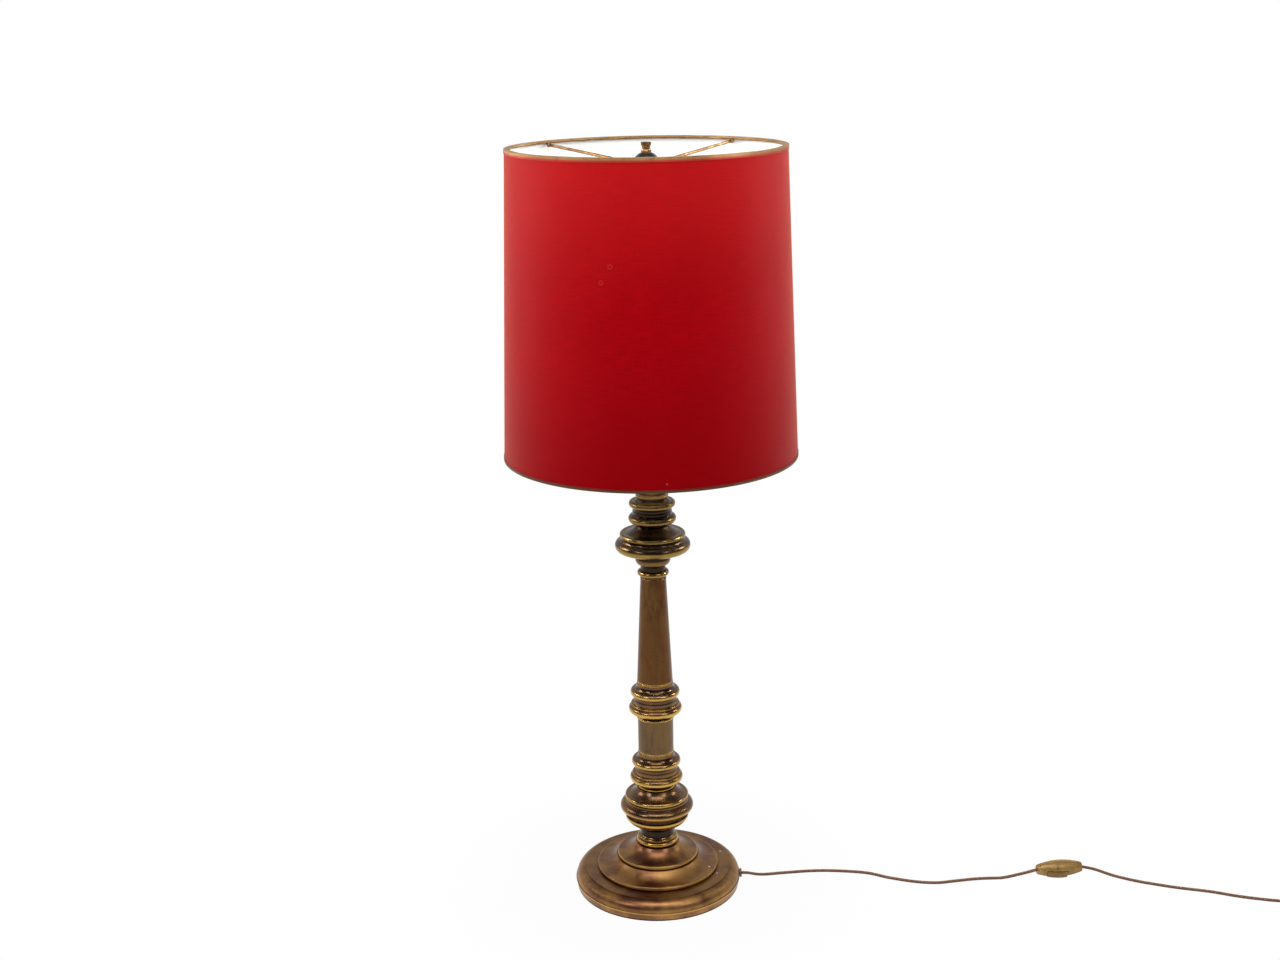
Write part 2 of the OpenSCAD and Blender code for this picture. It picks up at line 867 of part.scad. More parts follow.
// Porcelain body that carries the screw shell and the contact
module holder_insert() {
    shell_r = socket_d / 2 + screw_shell_t;
    difference() {
        translate([0, 0, insert_foot])
        cylinder(r = insert_r, h = holder_h - mouth_lip - insert_foot);
        translate([0, 0, socket_foot + shell_lift])
        cylinder(r = shell_r, h = holder_h);
        translate([0, 0, socket_foot])
        cylinder(r = shell_r - screw_shell_t / 2, h = holder_h);
        translate([0, 0, insert_foot - 1])
        cylinder(r = 3, h = socket_foot - contact_floor - insert_foot + 1);
    }
}

module holder_insert_left() {
    color([0.95, 0.95, 0.93])
    translate([-holder_reach, 0, holder_z])
    holder_insert();
}

module holder_insert_right() {
    color([0.95, 0.95, 0.93])
    translate([holder_reach, 0, holder_z])
    holder_insert();
}

module screw_shell() {
    length = holder_h - mouth_lip - socket_foot - shell_lift - 2;
    translate([0, 0, socket_foot + shell_lift])
    difference() {
        cylinder(r = socket_d / 2 + screw_shell_t, h = length);
        translate([0, 0, -1])
        cylinder(r = socket_d / 2, h = length + 2);
    }
}

module screw_shell_left() {
    color(brass)
    translate([-holder_reach, 0, holder_z])
    screw_shell();
}

module screw_shell_right() {
    color(brass)
    translate([holder_reach, 0, holder_z])
    screw_shell();
}

module centre_contacts() {
    color(brass)
    for (side = [-1, 1])
        translate([side * holder_reach, 0, holder_z + socket_foot]) {
            cylinder(r = 5, h = 1);
            translate([0, 0, 0.5])
            cylinder(r = 3, h = 1.5);
        }
}

module shade_rod() {
    low = lid_z - 1;
    color(brass)
    translate([0, 0, low])
    difference() {
        union() {
            cylinder(r = tube_r, h = shoulder_z - low);
            cylinder(r = stud_r, h = rod_top - low);
        }
        translate([0, 0, -1])
        cylinder(r = tube_bore / 2, h = hub_z - low - 20);
    }
}

module shade_seat() {
    color(brass)
    difference() {
        translate([0, 0, seat_z])
        cylinder(d = hub_d + 2, h = seat_t);
        translate([0, 0, seat_z - 1])
        cylinder(r = tube_r, h = seat_t + 2);
    }
}

// Flex inside the lamp: through the bush, across the base and up the centre tube
module inner_flex() {
    r = 2.3;
    turn = 9;
    color(brown) {
        translate([turn, 0, inlet_z])
        rotate([0, 90, 0])
        cylinder(r = r, h = bush_face - turn);
        translate([turn, 0, inlet_z + turn])
        rotate([90, 0, 0])
        rotate([0, 0, 180])
        rotate_extrude(angle = 90)
        translate([turn, 0])
        circle(r);
        translate([0, 0, inlet_z + turn])
        cylinder(r = r, h = box_z + 10 - inlet_z - turn);
    }
}

// Leads from the wiring box through the lamp arms to the inserts
module lamp_leads() {
    r = 1.6;
    start = 6;
    color(brown)
    for (flip = [0, 1])
        mirror([flip, 0, 0])
        bent_rod(r, start, holder_reach, arm_z, arm_bend, holder_z + socket_foot - contact_floor);
}

// Ring of the shade's cone between two depths from its outer face
module cone_ring(outer, inner, z0, z1) {
    r0 = shade_bottom_r - (z0 - shade_bottom) * shade_lean;
    r1 = shade_bottom_r - (z1 - shade_bottom) * shade_lean;
    rotate_extrude()
    polygon([[r0 - inner, z0], [r0 - outer, z0], [r1 - outer, z1], [r1 - inner, z1]]);
}

module shade_cloth() {
    color(red)
    cone_ring(0, cloth_t, shade_bottom, shade_top);
}

module shade_lining() {
    color([0.96, 0.96, 0.94])
    cone_ring(cloth_t + glue, wall_t, shade_bottom, shade_top);
}

module wire_ring(r, z) {
    translate([0, 0, z])
    rotate_extrude()
    translate([r, 0])
    circle(wire_r);
}

module top_wire() {
    color(brass)
    wire_ring(top_wire_r, shade_top - wire_r);
}

module bottom_wire() {
    color(brass)
    wire_ring(bottom_wire_r, shade_bottom + wire_r);
}

// Gilt tape folded over the edge: an outer leg, a web over the wall and the wire, and a short inner leg
module edging(edge_r, edge, way, height) {
    inner_r = edge_r - wall_t - wire_d - 0.6;
    outer_r = edge_r + glue + shade_lean * height * (way < 0 ? 0 : 1);
    translate([0, 0, edge])
    rotate_extrude()
    scale([1, way]) {
        translate([inner_r - edging_t, 0])
        square([outer_r + edging_t - inner_r + edging_t, edging_t]);
        translate([outer_r, -height])
        square([edging_t, height + edging_t / 2]);
        translate([inner_r - edging_t, -wire_r])
        square([edging_t, wire_r + edging_t / 2]);
    }
}

module top_edging() {
    color(gilt)
    edging(shade_top_r, shade_top, 1, top_edging_h);
}

module bottom_edging() {
    color(gilt)
    edging(shade_bottom_r, shade_bottom, -1, bottom_edging_h);
}

// Straight arms from the hub up to the top wire, each ending in a small soldered knob
module spider_rods(r) {
    for (a = spider_angles)
        rotate([0, 0, a])
        translate([spider_start, 0, hub_z + hub_t / 2])
        rotate([0, atan2(spider_run, spider_rise), 0])
        cylinder(r = r, h = norm([spider_run, spider_rise]));
}

module spider_arms() {
    color(brass)
    difference() {
        union() {
            spider_rods(spider_d / 2);
            for (a = spider_angles)
                rotate([0, 0, a])
                translate([top_wire_r - wire_r - 1, 0, hub_z + hub_t / 2 + spider_rise])
                sphere(r = knob_r);
        }
        wire_ring(top_wire_r, shade_top - wire_r);
    }
}

module spider_hub() {
    color(brass)
    difference() {
        translate([0, 0, hub_z])
        cylinder(d = hub_d, h = hub_t);
        translate([0, 0, hub_z - 1])
        cylinder(r = tube_r + turn_gap, h = hub_t + 2);
        spider_rods(spider_d / 2);
    }
}

// Dome with a flat on top for the finial, screwed down on the rod
module dome_cap() {
    r = dome_d / 2;
    middle = (dome_h * dome_h + dome_top_r * dome_top_r - r * r) / (2 * dome_h);
    color(dark_brass)
    translate([0, 0, dome_z])
    difference() {
        rotate_extrude()
        intersection() {
            translate([0, middle])
            circle(norm([r, middle]), $fn = 256);
            square([r + 1, dome_h]);
        }
        translate([0, 0, -1])
        cylinder(r = tube_r, h = shoulder_z - dome_z + 1);
        cylinder(r = stud_r, h = dome_h + 1);
    }
}

// Waisted knob with a flared, slightly hollowed top
module finial() {
    r = finial_d / 2;
    waist = 1.2;
    side_r = 0.5 * finial_h;
    hollow = 0.6;
    hollow_r = 20;
    color(brass)
    translate([0, 0, finial_z])
    difference() {
        rotate_extrude()
        difference() {
            square([r, finial_h]);
            translate([r - waist + side_r, 0.45 * finial_h])
            circle(side_r);
            translate([0, finial_h - hollow + hollow_r])
            circle(hollow_r, $fn = 256);
        }
        translate([0, 0, -1])
        cylinder(r = stud_r + turn_gap, h = rod_top - finial_z + 2);
    }
}

module flex_lamp_side() {
    color(brown)
    flex(route_curve(lamp_route, 3));
}

module flex_plug_side() {
    color(brown)
    flex(route_curve(plug_route, 3));
}

module flex_tail() {
    color(brown)
    flex(route_curve(tail_route, 2));
}

// Section of the coil, which lies on its tie
module coil_section(grow) {
    half = coil_w / 2 + grow;
    translate([coil_r - half, tie_t - grow])
    square([2 * half, coil_h + 2 * grow]);
}

module flex_coil() {
    color(brown)
    translate([coil_at.x, coil_at.y, 0])
    rotate_extrude()
    coil_section(0);
}

module coil_tie() {
    color([0.1, 0.1, 0.1])
    translate([coil_at.x, coil_at.y, 0])
    rotate([0, 0, 190])
    rotate_extrude(angle = 24)
    difference() {
        coil_section(tie_t);
        coil_section(0);
    }
}

// Places a switch piece whose way is +X and whose rocker faces +Z
module at_switch() {
    translate([switch_at.x, switch_at.y, switch_z])
    rotate([0, 0, switch_yaw])
    rotate([switch_roll, 0, 0])
    children();
}

// Long barrel of the switch, drawn in by inset
module switch_barrel(inset) {
    half = switch_l / 2;
    swell = switch_r - switch_end_r;
    rho = (half * half + swell * swell) / (2 * swell);
    rotate([0, 90, 0])
    rotate_extrude()
    intersection() {
        translate([switch_r - rho, 0])
        circle(rho - inset, $fn = 256);
        translate([0, -half + inset])
        square([switch_d, switch_l - 2 * inset]);
    }
}

module switch_body() {
    difference() {
        switch_barrel(0);
        switch_barrel(switch_wall);
        for (end = [-1, 1])
            translate([end * (switch_l / 2 - switch_wall - 1), 0, 0])
            rotate([0, end * 90, 0])
            cylinder(r = flex_w / 2 - 0.4, h = switch_wall + 3);
    }
}

// Posts inside the barrel that the screws hold together
module switch_posts() {
    intersection() {
        switch_barrel(switch_wall / 2);
        for (end = [-1, 1])
            translate([end * screw_x, 0, -switch_r])
            cylinder(r = post_r, h = switch_d);
    }
}

// Holes that the screws sit in, from the back half into the front half
module screw_holes() {
    for (end = [-1, 1])
        translate([end * screw_x, 0, -switch_d])
        cylinder(r = screw_r, h = switch_d + 4);
}

// Shallow groove where the two shells meet
module parting_groove() {
    difference() {
        translate([-switch_l, -switch_d, -parting_w / 2])
        cube([2 * switch_l, 2 * switch_d, parting_w]);
        switch_barrel(parting_t);
    }
}

module rocker_slot() {
    translate([rocker_x - rocker_l / 2 - rocker_gap, -rocker_w / 2 - rocker_gap, 2])
    cube([rocker_l + 2 * rocker_gap, rocker_w + 2 * rocker_gap, switch_d]);
}

module switch_front() {
    color(gilt)
    at_switch()
    difference() {
        intersection() {
            union() {
                switch_body();
                switch_posts();
            }
            translate([-switch_l, -switch_d, 0])
            cube([2 * switch_l, 2 * switch_d, switch_d]);
        }
        screw_holes();
        parting_groove();
        rocker_slot();
        translate([rocker_x, 0, rocker_pivot])
        rotate([90, 0, 0])
        cylinder(r = rocker_pin_r, h = switch_d, center = true);
    }
}

module switch_back() {
    color(gilt)
    at_switch()
    difference() {
        intersection() {
            union() {
                switch_body();
                switch_posts();
            }
            translate([-switch_l, -switch_d, -switch_d])
            cube([2 * switch_l, 2 * switch_d, switch_d]);
        }
        screw_holes();
        parting_groove();
    }
}

// Rocker with a bowed face, turning on the pin
module switch_rocker() {
    bow = 60;
    face_z = switch_r + rocker_proud - rocker_pivot;
    color(gilt)
    at_switch()
    translate([rocker_x, 0, rocker_pivot])
    rotate([0, -rocker_tilt, 0])
    difference() {
        intersection() {
            translate([-rocker_l / 2, -rocker_w / 2, -2.6])
            cube([rocker_l, rocker_w, 12]);
            translate([0, 0, face_z - bow])
            rotate([90, 0, 0])
            cylinder(r = bow, h = 2 * rocker_w, center = true, $fn = 256);
        }
        rotate([90, 0, 0])
        cylinder(r = rocker_pin_r + rocker_fit, h = 2 * rocker_w, center = true);
    }
}

module rocker_pin() {
    color(steel)
    at_switch()
    translate([rocker_x, 0, rocker_pivot])
    rotate([90, 0, 0])
    cylinder(r = rocker_pin_r, h = rocker_w + 2 * rocker_gap + 3, center = true);
}

module switch_screws() {
    color(steel)
    at_switch()
    for (end = [-1, 1])
        translate([end * screw_x, 0, -switch_end_r - 1])
        cylinder(r = screw_r, h = switch_end_r + 5);
}

// Flat two-pin plug lying on the floor, its pins pointing along -Y
module plug_body() {
    color(brown)
    translate([plug_at.x, plug_at.y, 0]) {
        difference() {
            translate([0, -plug_l, 0])
            linear_extrude(plug_t)
            intersection() {
                translate([-plug_w / 2, 0])
                square([plug_w, plug_l]);
                translate([0, 4])
                circle(plug_l - 3);
            }
            for (side = [-1, 1])
                translate([side * pin_pitch / 2, -plug_l - 1, plug_t / 2])
                rotate([-90, 0, 0])
                cylinder(d = root_d, h = root_l + 1);
        }
        translate([0, -1, plug_t / 2])
        rotate([-90, 0, 0])
        cylinder(r1 = 5, r2 = 3.4, h = relief_l + 1);
    }
}

module plug_pins() {
    color(steel)
    for (side = [-1, 1])
        translate([plug_at.x + side * pin_pitch / 2, plug_at.y - plug_l, plug_t / 2])
        rotate([-90, 0, 0]) {
            cylinder(d = root_d, h = root_l);
            translate([0, 0, -pin_l])
            cylinder(d = pin_d, h = pin_l + 1);
        }
}

base_shell();
base_weight();
base_cover();
base_felt();
flex_bush();
centre_tube();
hex_nuts();
neck();
knop();
knop_dish();
lower_collar();
sleeve();
upper_collar();
shaft();
necking();
pan_ring();
pan_dish();
top_collar();
top_neck();
wiring_box();
box_lid();
lamp_arm_left();
lamp_arm_right();
holder_cap_left();
holder_cap_right();
holder_shell_left();
holder_shell_right();
holder_insert_left();
holder_insert_right();
screw_shell_left();
screw_shell_right();
centre_contacts();
shade_rod();
shade_seat();
inner_flex();
lamp_leads();
shade_cloth();
shade_lining();
top_wire();
bottom_wire();
top_edging();
bottom_edging();
spider_arms();
spider_hub();
dome_cap();
finial();
flex_lamp_side();
flex_plug_side();
flex_coil();
flex_tail();
coil_tie();
switch_front();
switch_back();
switch_rocker();
rocker_pin();
switch_screws();
plug_body();
plug_pins();
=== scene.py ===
"""Looks of a tall turned-brass lamp: a stepped base, a stacked column and a red drum shade.

The CAD frame gives every solid. This script dresses each node with a worked-out finish, lays the flex
at its real length, and adds the thin details that the solids leave out.
Metres, +Z up, the same frame as the CAD part: the origin is the centre of the base on the floor.
"""

import logging
import math
from collections.abc import Iterable, Sequence
from dataclasses import dataclass, field, replace
from enum import Enum

import bpy
from mathutils import Matrix, Vector


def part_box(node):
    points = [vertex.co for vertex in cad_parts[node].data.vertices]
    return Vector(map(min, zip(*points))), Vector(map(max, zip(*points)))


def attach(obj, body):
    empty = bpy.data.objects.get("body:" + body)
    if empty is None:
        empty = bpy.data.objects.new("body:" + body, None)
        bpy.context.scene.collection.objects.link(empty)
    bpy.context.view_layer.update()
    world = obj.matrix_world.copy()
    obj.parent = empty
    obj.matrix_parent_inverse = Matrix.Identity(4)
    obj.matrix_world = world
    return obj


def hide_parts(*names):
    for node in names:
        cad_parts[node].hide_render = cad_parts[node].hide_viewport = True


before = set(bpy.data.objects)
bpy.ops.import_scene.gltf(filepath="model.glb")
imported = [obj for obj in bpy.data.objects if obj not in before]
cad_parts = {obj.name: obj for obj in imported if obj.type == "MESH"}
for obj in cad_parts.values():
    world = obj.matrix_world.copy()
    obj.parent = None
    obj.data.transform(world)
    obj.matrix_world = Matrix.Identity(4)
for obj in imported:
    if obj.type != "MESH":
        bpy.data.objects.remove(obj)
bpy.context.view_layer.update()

LOG = logging.getLogger("lamp")
MM = 0.001
FULL_TURN = 2 * math.pi

Socket = bpy.types.NodeSocket
Value = float | Socket
Span = tuple[float, float]
Colour = tuple[float, float, float]
Point = tuple[float, float, float]
Band = tuple[float, float, float]

# Spans of a cloudy pattern over which a finish changes: the middle of its range, or nearly all of it.
MIDDLE: Span = (0.35, 0.65)
WIDE: Span = (0.30, 0.70)
WHITE: Colour = (1.0, 1.0, 1.0)


class Body(Enum):
    """CAD bodies that new pieces ride on."""

    LAMP = "lamp"
    SHADE = "shade"


class Slot(Enum):
    """Material slots of the record."""

    FLEX = "flex_plastic"
    CLOTH = "red_cloth"
    FITTING = "fitting_brass"


class Board:
    """Node tree of a material or of the room, with short calls for the nodes that they share."""

    def __init__(self, tree: bpy.types.NodeTree) -> None:
        """Takes a node tree and clears it.

        Args:
            tree: Node tree to fill.
        """
        self.tree = tree
        self.tree.nodes.clear()

    def node(self, kind: str, **settings: object) -> bpy.types.Node:
        """Adds a node.

        Args:
            kind: Blender's type name of the node.
            **settings: Properties to set on it.

        Returns:
            The new node.
        """
        made = self.tree.nodes.new(kind)
        for key, value in settings.items():
            setattr(made, key, value)
        return made

    def feed(self, socket: Socket, value: Value | Colour) -> None:
        """Links a socket, or sets its own value.

        Args:
            socket: Input to feed.
            value: Output to link from, number or colour.
        """
        if isinstance(value, bpy.types.NodeSocket):
            self.tree.links.new(value, socket)
        elif isinstance(value, tuple) and socket.type == "RGBA":
            socket.default_value = (*value, 1.0)
        else:
            socket.default_value = value

    def made_of(self, node: bpy.types.Node, *values: Value | Colour) -> Socket:
        """Feeds a node's inputs in order.

        Args:
            node: Node to feed.
            *values: What feeds each input.

        Returns:
            The node's first output.
        """
        for socket, value in zip(node.inputs, values):
            self.feed(socket, value)
        return node.outputs[0]

    def split(self, vector: Socket) -> tuple[Socket, Socket, Socket]:
        """Three components of a vector.

        Args:
            vector: Vector to take apart.

        Returns:
            Its x, y and z.
        """
        made = self.node("ShaderNodeSeparateXYZ")
        self.feed(made.inputs[0], vector)
        return made.outputs[0], made.outputs[1], made.outputs[2]

    def join(self, x: Value, y: Value, z: Value) -> Socket:
        """Vector of three components."""
        return self.made_of(self.node("ShaderNodeCombineXYZ"), x, y, z)

    def math(self, operation: str, a: Value, b: Value = 0.0) -> Socket:
        """One step of arithmetic, under Blender's name for it."""
        return self.made_of(self.node("ShaderNodeMath", operation=operation), a, b)

    def weigh(self, first: tuple[Socket, float], second: tuple[Socket, float]) -> Socket:
        """Sum of two patterns, each times its weight."""
        return self.math("ADD", self.math("MULTIPLY", *first), self.math("MULTIPLY", *second))

    def rise(self, value: Value, span: Span, levels: Span = (0.0, 1.0)) -> Socket:
        """Smooth change from one level to another.

        Args:
            value: What drives the change.
            span: Values where the change starts and ends.
            levels: Levels before and after it.

        Returns:
            The level.
        """
        made = self.node("ShaderNodeMapRange", interpolation_type="SMOOTHSTEP")
        self.feed(made.inputs["Value"], value)
        for name, number in zip(("From Min", "From Max", "To Min", "To Max"), (*span, *levels)):
            made.inputs[name].default_value = number
        return made.outputs["Result"]

    def seen(self) -> Socket:
        """1 where a ray comes straight, or by a reflection, from the camera.

        Returns:
            The level, 1 or 0.
        """
        path = self.node("ShaderNodeLightPath").outputs
        bent = self.math("ADD", path["Is Glossy Ray"], path["Is Transmission Ray"])
        return self.math("MINIMUM", self.math("ADD", path["Is Camera Ray"], bent), 1.0)

    def blend(self, share: Socket, first: Socket, second: Socket) -> Socket:
        """Shader between two others, with a share of the second."""
        return self.made_of(self.node("ShaderNodeMixShader"), share, first, second)


class Graph(Board):
    """Node graph of one material, around one surface shader.

    Its place is the point of the surface in the part's frame, with the components x, y and z.
    """

    def __init__(self, name: str) -> None:
        """Starts the material.

        Args:
            name: Name of the material.
        """
        self.material = bpy.data.materials.new(name)
        self.material.use_nodes = True
        super().__init__(self.material.node_tree)
        self.output = self.node("ShaderNodeOutputMaterial")
        self.shader = self.node("ShaderNodeBsdfPrincipled")
        self.feed(self.output.inputs["Surface"], self.shader.outputs["BSDF"])
        self.place = self.node("ShaderNodeTexCoord").outputs["Object"]
        self.x, self.y, self.z = self.split(self.place)

    def surface(self, **values: Value | Colour) -> None:
        """Feeds the shader's inputs.

        Args:
            **values: Input names with underscores for spaces, and what feeds them.
        """
        names = {key.lower(): key for key in self.shader.inputs.keys()}
        for key, value in values.items():
            self.feed(self.shader.inputs[names[key.replace("_", " ")]], value)

    def drawn_out(self, scale: Point) -> Socket:
        """Point of the surface times a scale on each axis."""
        return self.made_of(self.node("ShaderNodeVectorMath", operation="MULTIPLY"), self.place, scale)

    def radius(self) -> Socket:
        """Distance of the surface from the lamp's axis."""
        squares = (self.math("MULTIPLY", way, way) for way in (self.x, self.y))
        return self.math("SQRT", self.math("ADD", *squares))

    def around(self, radius: float) -> Socket:
        """Length of the way round the lamp's axis from the front, on a drum of a radius."""
        turn = self.math("ARCTAN2", self.x, self.math("MULTIPLY", self.y, -1.0))
        return self.math("MULTIPLY", turn, radius)

    def away(self, point: Point) -> Socket:
        """Distance of the surface from a point.

        Args:
            point: The point, in millimetres.

        Returns:
            The distance in metres.
        """
        made = self.node("ShaderNodeVectorMath", operation="DISTANCE")
        self.made_of(made, self.place, tuple(MM * c for c in point))
        return made.outputs["Value"]

    def noise(self, size: float, detail: float = 3.0, roughness: float = 0.5,
              at: Socket | None = None) -> Socket:
        """Cloudy pattern around 0.5.

        Args:
            size: Width of a cloud, in the units of the point.
            detail: Number of finer layers.
            roughness: Weight of the finer layers.
            at: Point to look up, where it isn't the surface's own.

        Returns:
            The pattern's level.
        """
        made = self.node("ShaderNodeTexNoise")
        self.feed(made.inputs["Vector"], self.place if at is None else at)
        for name, number in (("Scale", 1.0 / size), ("Detail", detail), ("Roughness", roughness)):
            made.inputs[name].default_value = number
        return made.outputs["Fac"]

    def open_air(self, reach: float) -> Socket:
        """How open the piece is: 1 on a rim, towards 0 in a hollow.

        Args:
            reach: Distance over which the piece's other faces count.

        Returns:
            The share of open directions.
        """
        made = self.node("ShaderNodeAmbientOcclusion", samples=8, only_local=True)
        made.inputs["Distance"].default_value = reach
        return made.outputs["AO"]

    def mix(self, amount: Value, first: Socket | Colour, second: Socket | Colour) -> Socket:
        """Colour between two others.

        Args:
            amount: Share of the second colour.
            first: First colour.
            second: Second colour.

        Returns:
            The mixed colour.
        """
        made = self.node("ShaderNodeMix", data_type="RGBA")
        factor, colour_a, colour_b = (made.inputs[k] for k in (0, 6, 7))
        for socket, value in ((factor, amount), (colour_a, first), (colour_b, second)):
            self.feed(socket, value)
        return made.outputs[2]

    def bump(self, height: Socket, depth: float) -> None:
        """Gives the shader a fine relief.

        Args:
            height: Relief from 0 to 1.
            depth: Height of 1 in metres.
        """
        made = self.node("ShaderNodeBump")
        made.inputs["Strength"].default_value = 1.0
        made.inputs["Distance"].default_value = depth
        self.feed(made.inputs["Height"], height)
        self.feed(self.shader.inputs["Normal"], made.outputs["Normal"])


@dataclass(frozen=True)
class Finish:
    """What every finish has: a name, and a way to make its material."""

    name: str

    def material(self) -> bpy.types.Material:
        """Makes the material.

        Returns:
            The material.
        """
        graph = Graph(self.name)
        self.paint(graph)
        return graph.material

    def paint(self, graph: Graph) -> None:
        """Fills in the graph of the material, each finish in its own way."""
        raise NotImplementedError


@dataclass(frozen=True)
class TurnedBrass(Finish):
    """Aged brass with a clouded patina: its round edges worn bright with a painted reflection of the floor,
    and painted shade with some dirt darkening its hollow parts.

    Each band is a lower and an upper height in millimetres above the piece's foot, and its share. The edges
    of a band are soft over a few millimetres. Faces that look up get less of the painted floor reflection.
    """

    patina: Colour = (0.140, 0.077, 0.045)
    flush: Colour = (0.225, 0.120, 0.048)
    # Gold of the bright bands: edge wear with a painted reflection of the floor.
    wear_and_reflection_gold: Colour = (0.620, 0.370, 0.084)
    # Near-black of the dark bands and the flecks: dirt, with painted shade in the bands and hollow parts.
    grime_and_shade: Colour = (0.018, 0.011, 0.009)
    foot: float = 0.0
    # Bright bands: edge wear with a painted reflection of the floor.
    bright: tuple[Band, ...] = ()
    # Dark bands: painted shade in coves and under beads, with some dirt.
    dark: tuple[Band, ...] = ()
    soft: float = 1.8
    cloud: float = 30 * MM
    cloud_span: Span = (0.40, 0.62)
    up_span: Span = (0.35, 0.95)
    # Share of the painted floor reflection kept on faces that look up.
    up_facing_reflection_share: float = 0.25
    rub_span: Span = (0.30, 0.50)
    rub_least: float = 0.65
    shelter: float = 18 * MM
    shelter_span: Span = (0.25, 0.85)
    # Share of painted shade where the piece's own faces close round the surface.
    hollow_shade_share: float = 0.0
    fleck: float = 3.0 * MM
    fleck_span: Span = (0.56, 0.76)
    flecked: float = 0.35
    lathe: float = 3.5 * MM
    relief: float = 0.004 * MM
    lacquer: float = 0.10
    lacquer_gloss: float = 0.16
    gloss: Span = (0.23, 0.33)

    def height(self, graph: Graph) -> Socket:
        """Millimetres above the piece's foot."""
        return graph.math("MULTIPLY", graph.math("SUBTRACT", graph.z, self.foot), 1.0 / MM)

    def share(self, graph: Graph, height: Socket, bands: Sequence[Band]) -> Value:
        """Greatest share that any of the bands has at a height.

        Args:
            graph: Graph to add to.
            height: Millimetres above the piece's foot.
            bands: Bands to choose from.

        Returns:
            The share, from 0 to 1.
        """
        most: Value = 0.0
        half = self.soft / 2
        for low, high, level in bands:
            band = graph.math("MULTIPLY", graph.rise(height, (low - half, low + half)),
                              graph.rise(height, (high - half, high + half), (level, 0.0)))
            most = graph.math("MAXIMUM", band, most)
        return most

    def tones(self, graph: Graph) -> tuple[Socket, Socket]:
        """Colour before wear, and the cloud pattern that drives it."""
        cloud = graph.noise(self.cloud, detail=5.0, roughness=0.6)
        return graph.mix(graph.rise(cloud, self.cloud_span), self.patina, self.flush), cloud

    def paint(self, graph: Graph) -> None:
        """Lays the clouds, wear with painted reflection, painted shade, flecks and the lathe's marks.

        Args:
            graph: Graph of the material.
        """
        height = self.height(graph)
        tone, cloud = self.tones(graph)
        _, _, up = graph.split(graph.node("ShaderNodeTexCoord").outputs["Normal"])
        # Bright bands: edge wear with a painted reflection of the floor, kept low on faces that look up.
        wear_and_reflection_mask = graph.math("MULTIPLY", graph.rise(up, self.up_span, (1.0, self.up_facing_reflection_share)),
                             graph.rise(cloud, self.rub_span, (self.rub_least, 1.0)))
        worn = graph.math("MULTIPLY", wear_and_reflection_mask, self.share(graph, height, self.bright))
        tone = graph.mix(worn, tone, self.wear_and_reflection_gold)
        # Dark bands: painted shade in coves and under beads, with some dirt.
        tone = graph.mix(self.share(graph, height, self.dark), tone, self.grime_and_shade)
        # Painted shade where the piece's own faces close round the surface.
        if self.hollow_shade_share > 0:
            air = graph.open_air(self.shelter)
            tone = graph.mix(graph.rise(air, self.shelter_span, (self.hollow_shade_share, 0.0)), tone, self.grime_and_shade)
        fleck = graph.noise(self.fleck, detail=2.0, roughness=0.65)
        tone = graph.mix(graph.rise(fleck, self.fleck_span, (0.0, self.flecked)), tone, self.grime_and_shade)
        lathe = graph.noise(self.lathe, detail=1.0, at=graph.join(graph.radius(), graph.z, 0.0))
        graph.surface(base_color=tone, metallic=1.0, roughness=graph.rise(cloud, MIDDLE, self.gloss),
                      coat_weight=self.lacquer, coat_roughness=self.lacquer_gloss)
        graph.bump(graph.weigh((lathe, 0.7), (fleck, 0.3)), self.relief)


@dataclass(frozen=True)
class BrownedBrass(TurnedBrass):
    """Brown tube metal with clouds and faint lengthwise streaks, paler from a height in millimetres up."""

    pale: Colour = (0.190, 0.100, 0.040)
    pale_from: float = -50.0
    pale_over: float = 50.0
    pale_least: float = 0.35
    streak: float = 7 * MM
    streak_draw: Point = (1.0, 1.0, 0.08)
    patch_draw: Point = (1.0, 1.0, 0.45)
    patch_span: Span = (0.38, 0.60)
    worn_span: Span = (0.44, 0.62)
    worn_most: float = 0.9

    def tones(self, graph: Graph) -> tuple[Socket, Socket]:
        """Streaked and clouded colour, and the clouds that drive it.

        Args:
            graph: Graph to add to.

        Returns:
            The colour and the clouds.
        """
        streak = graph.noise(self.streak, detail=4.0, roughness=0.6, at=graph.drawn_out(self.streak_draw))
        patch = graph.noise(self.cloud, detail=5.0, roughness=0.62, at=graph.drawn_out(self.patch_draw))
        tone = graph.mix(graph.rise(patch, self.patch_span), self.patina, self.flush)
        worn = graph.rise(graph.weigh((patch, 0.6), (streak, 0.4)), self.worn_span, (0.0, self.worn_most))
        upper = graph.rise(self.height(graph), (self.pale_from, self.pale_from + self.pale_over),
                           (self.pale_least, 1.0))
        return graph.mix(graph.math("MULTIPLY", worn, upper), tone, self.pale), patch


@dataclass(frozen=True)
class SpottedBase(TurnedBrass):
    """The base's brass, browner and duller than the column's, with a few pale specks on its ledges."""

    specks: tuple[Point, ...] = ()
    speck_r: float = 1.6 * MM
    speck_core: float = 0.7
    speck_tone: Colour = (0.95, 0.93, 0.86)

    def tones(self, graph: Graph) -> tuple[Socket, Socket]:
        """Clouded colour with the specks on it, and the clouds.

        Args:
            graph: Graph to add to.

        Returns:
            The colour and the clouds.
        """
        tone, cloud = super().tones(graph)
        edge = (self.speck_r * self.speck_core, self.speck_r)
        for speck in self.specks:
            tone = graph.mix(graph.rise(graph.away(speck), edge, (1.0, 0.0)), tone, self.speck_tone)
        return tone, cloud


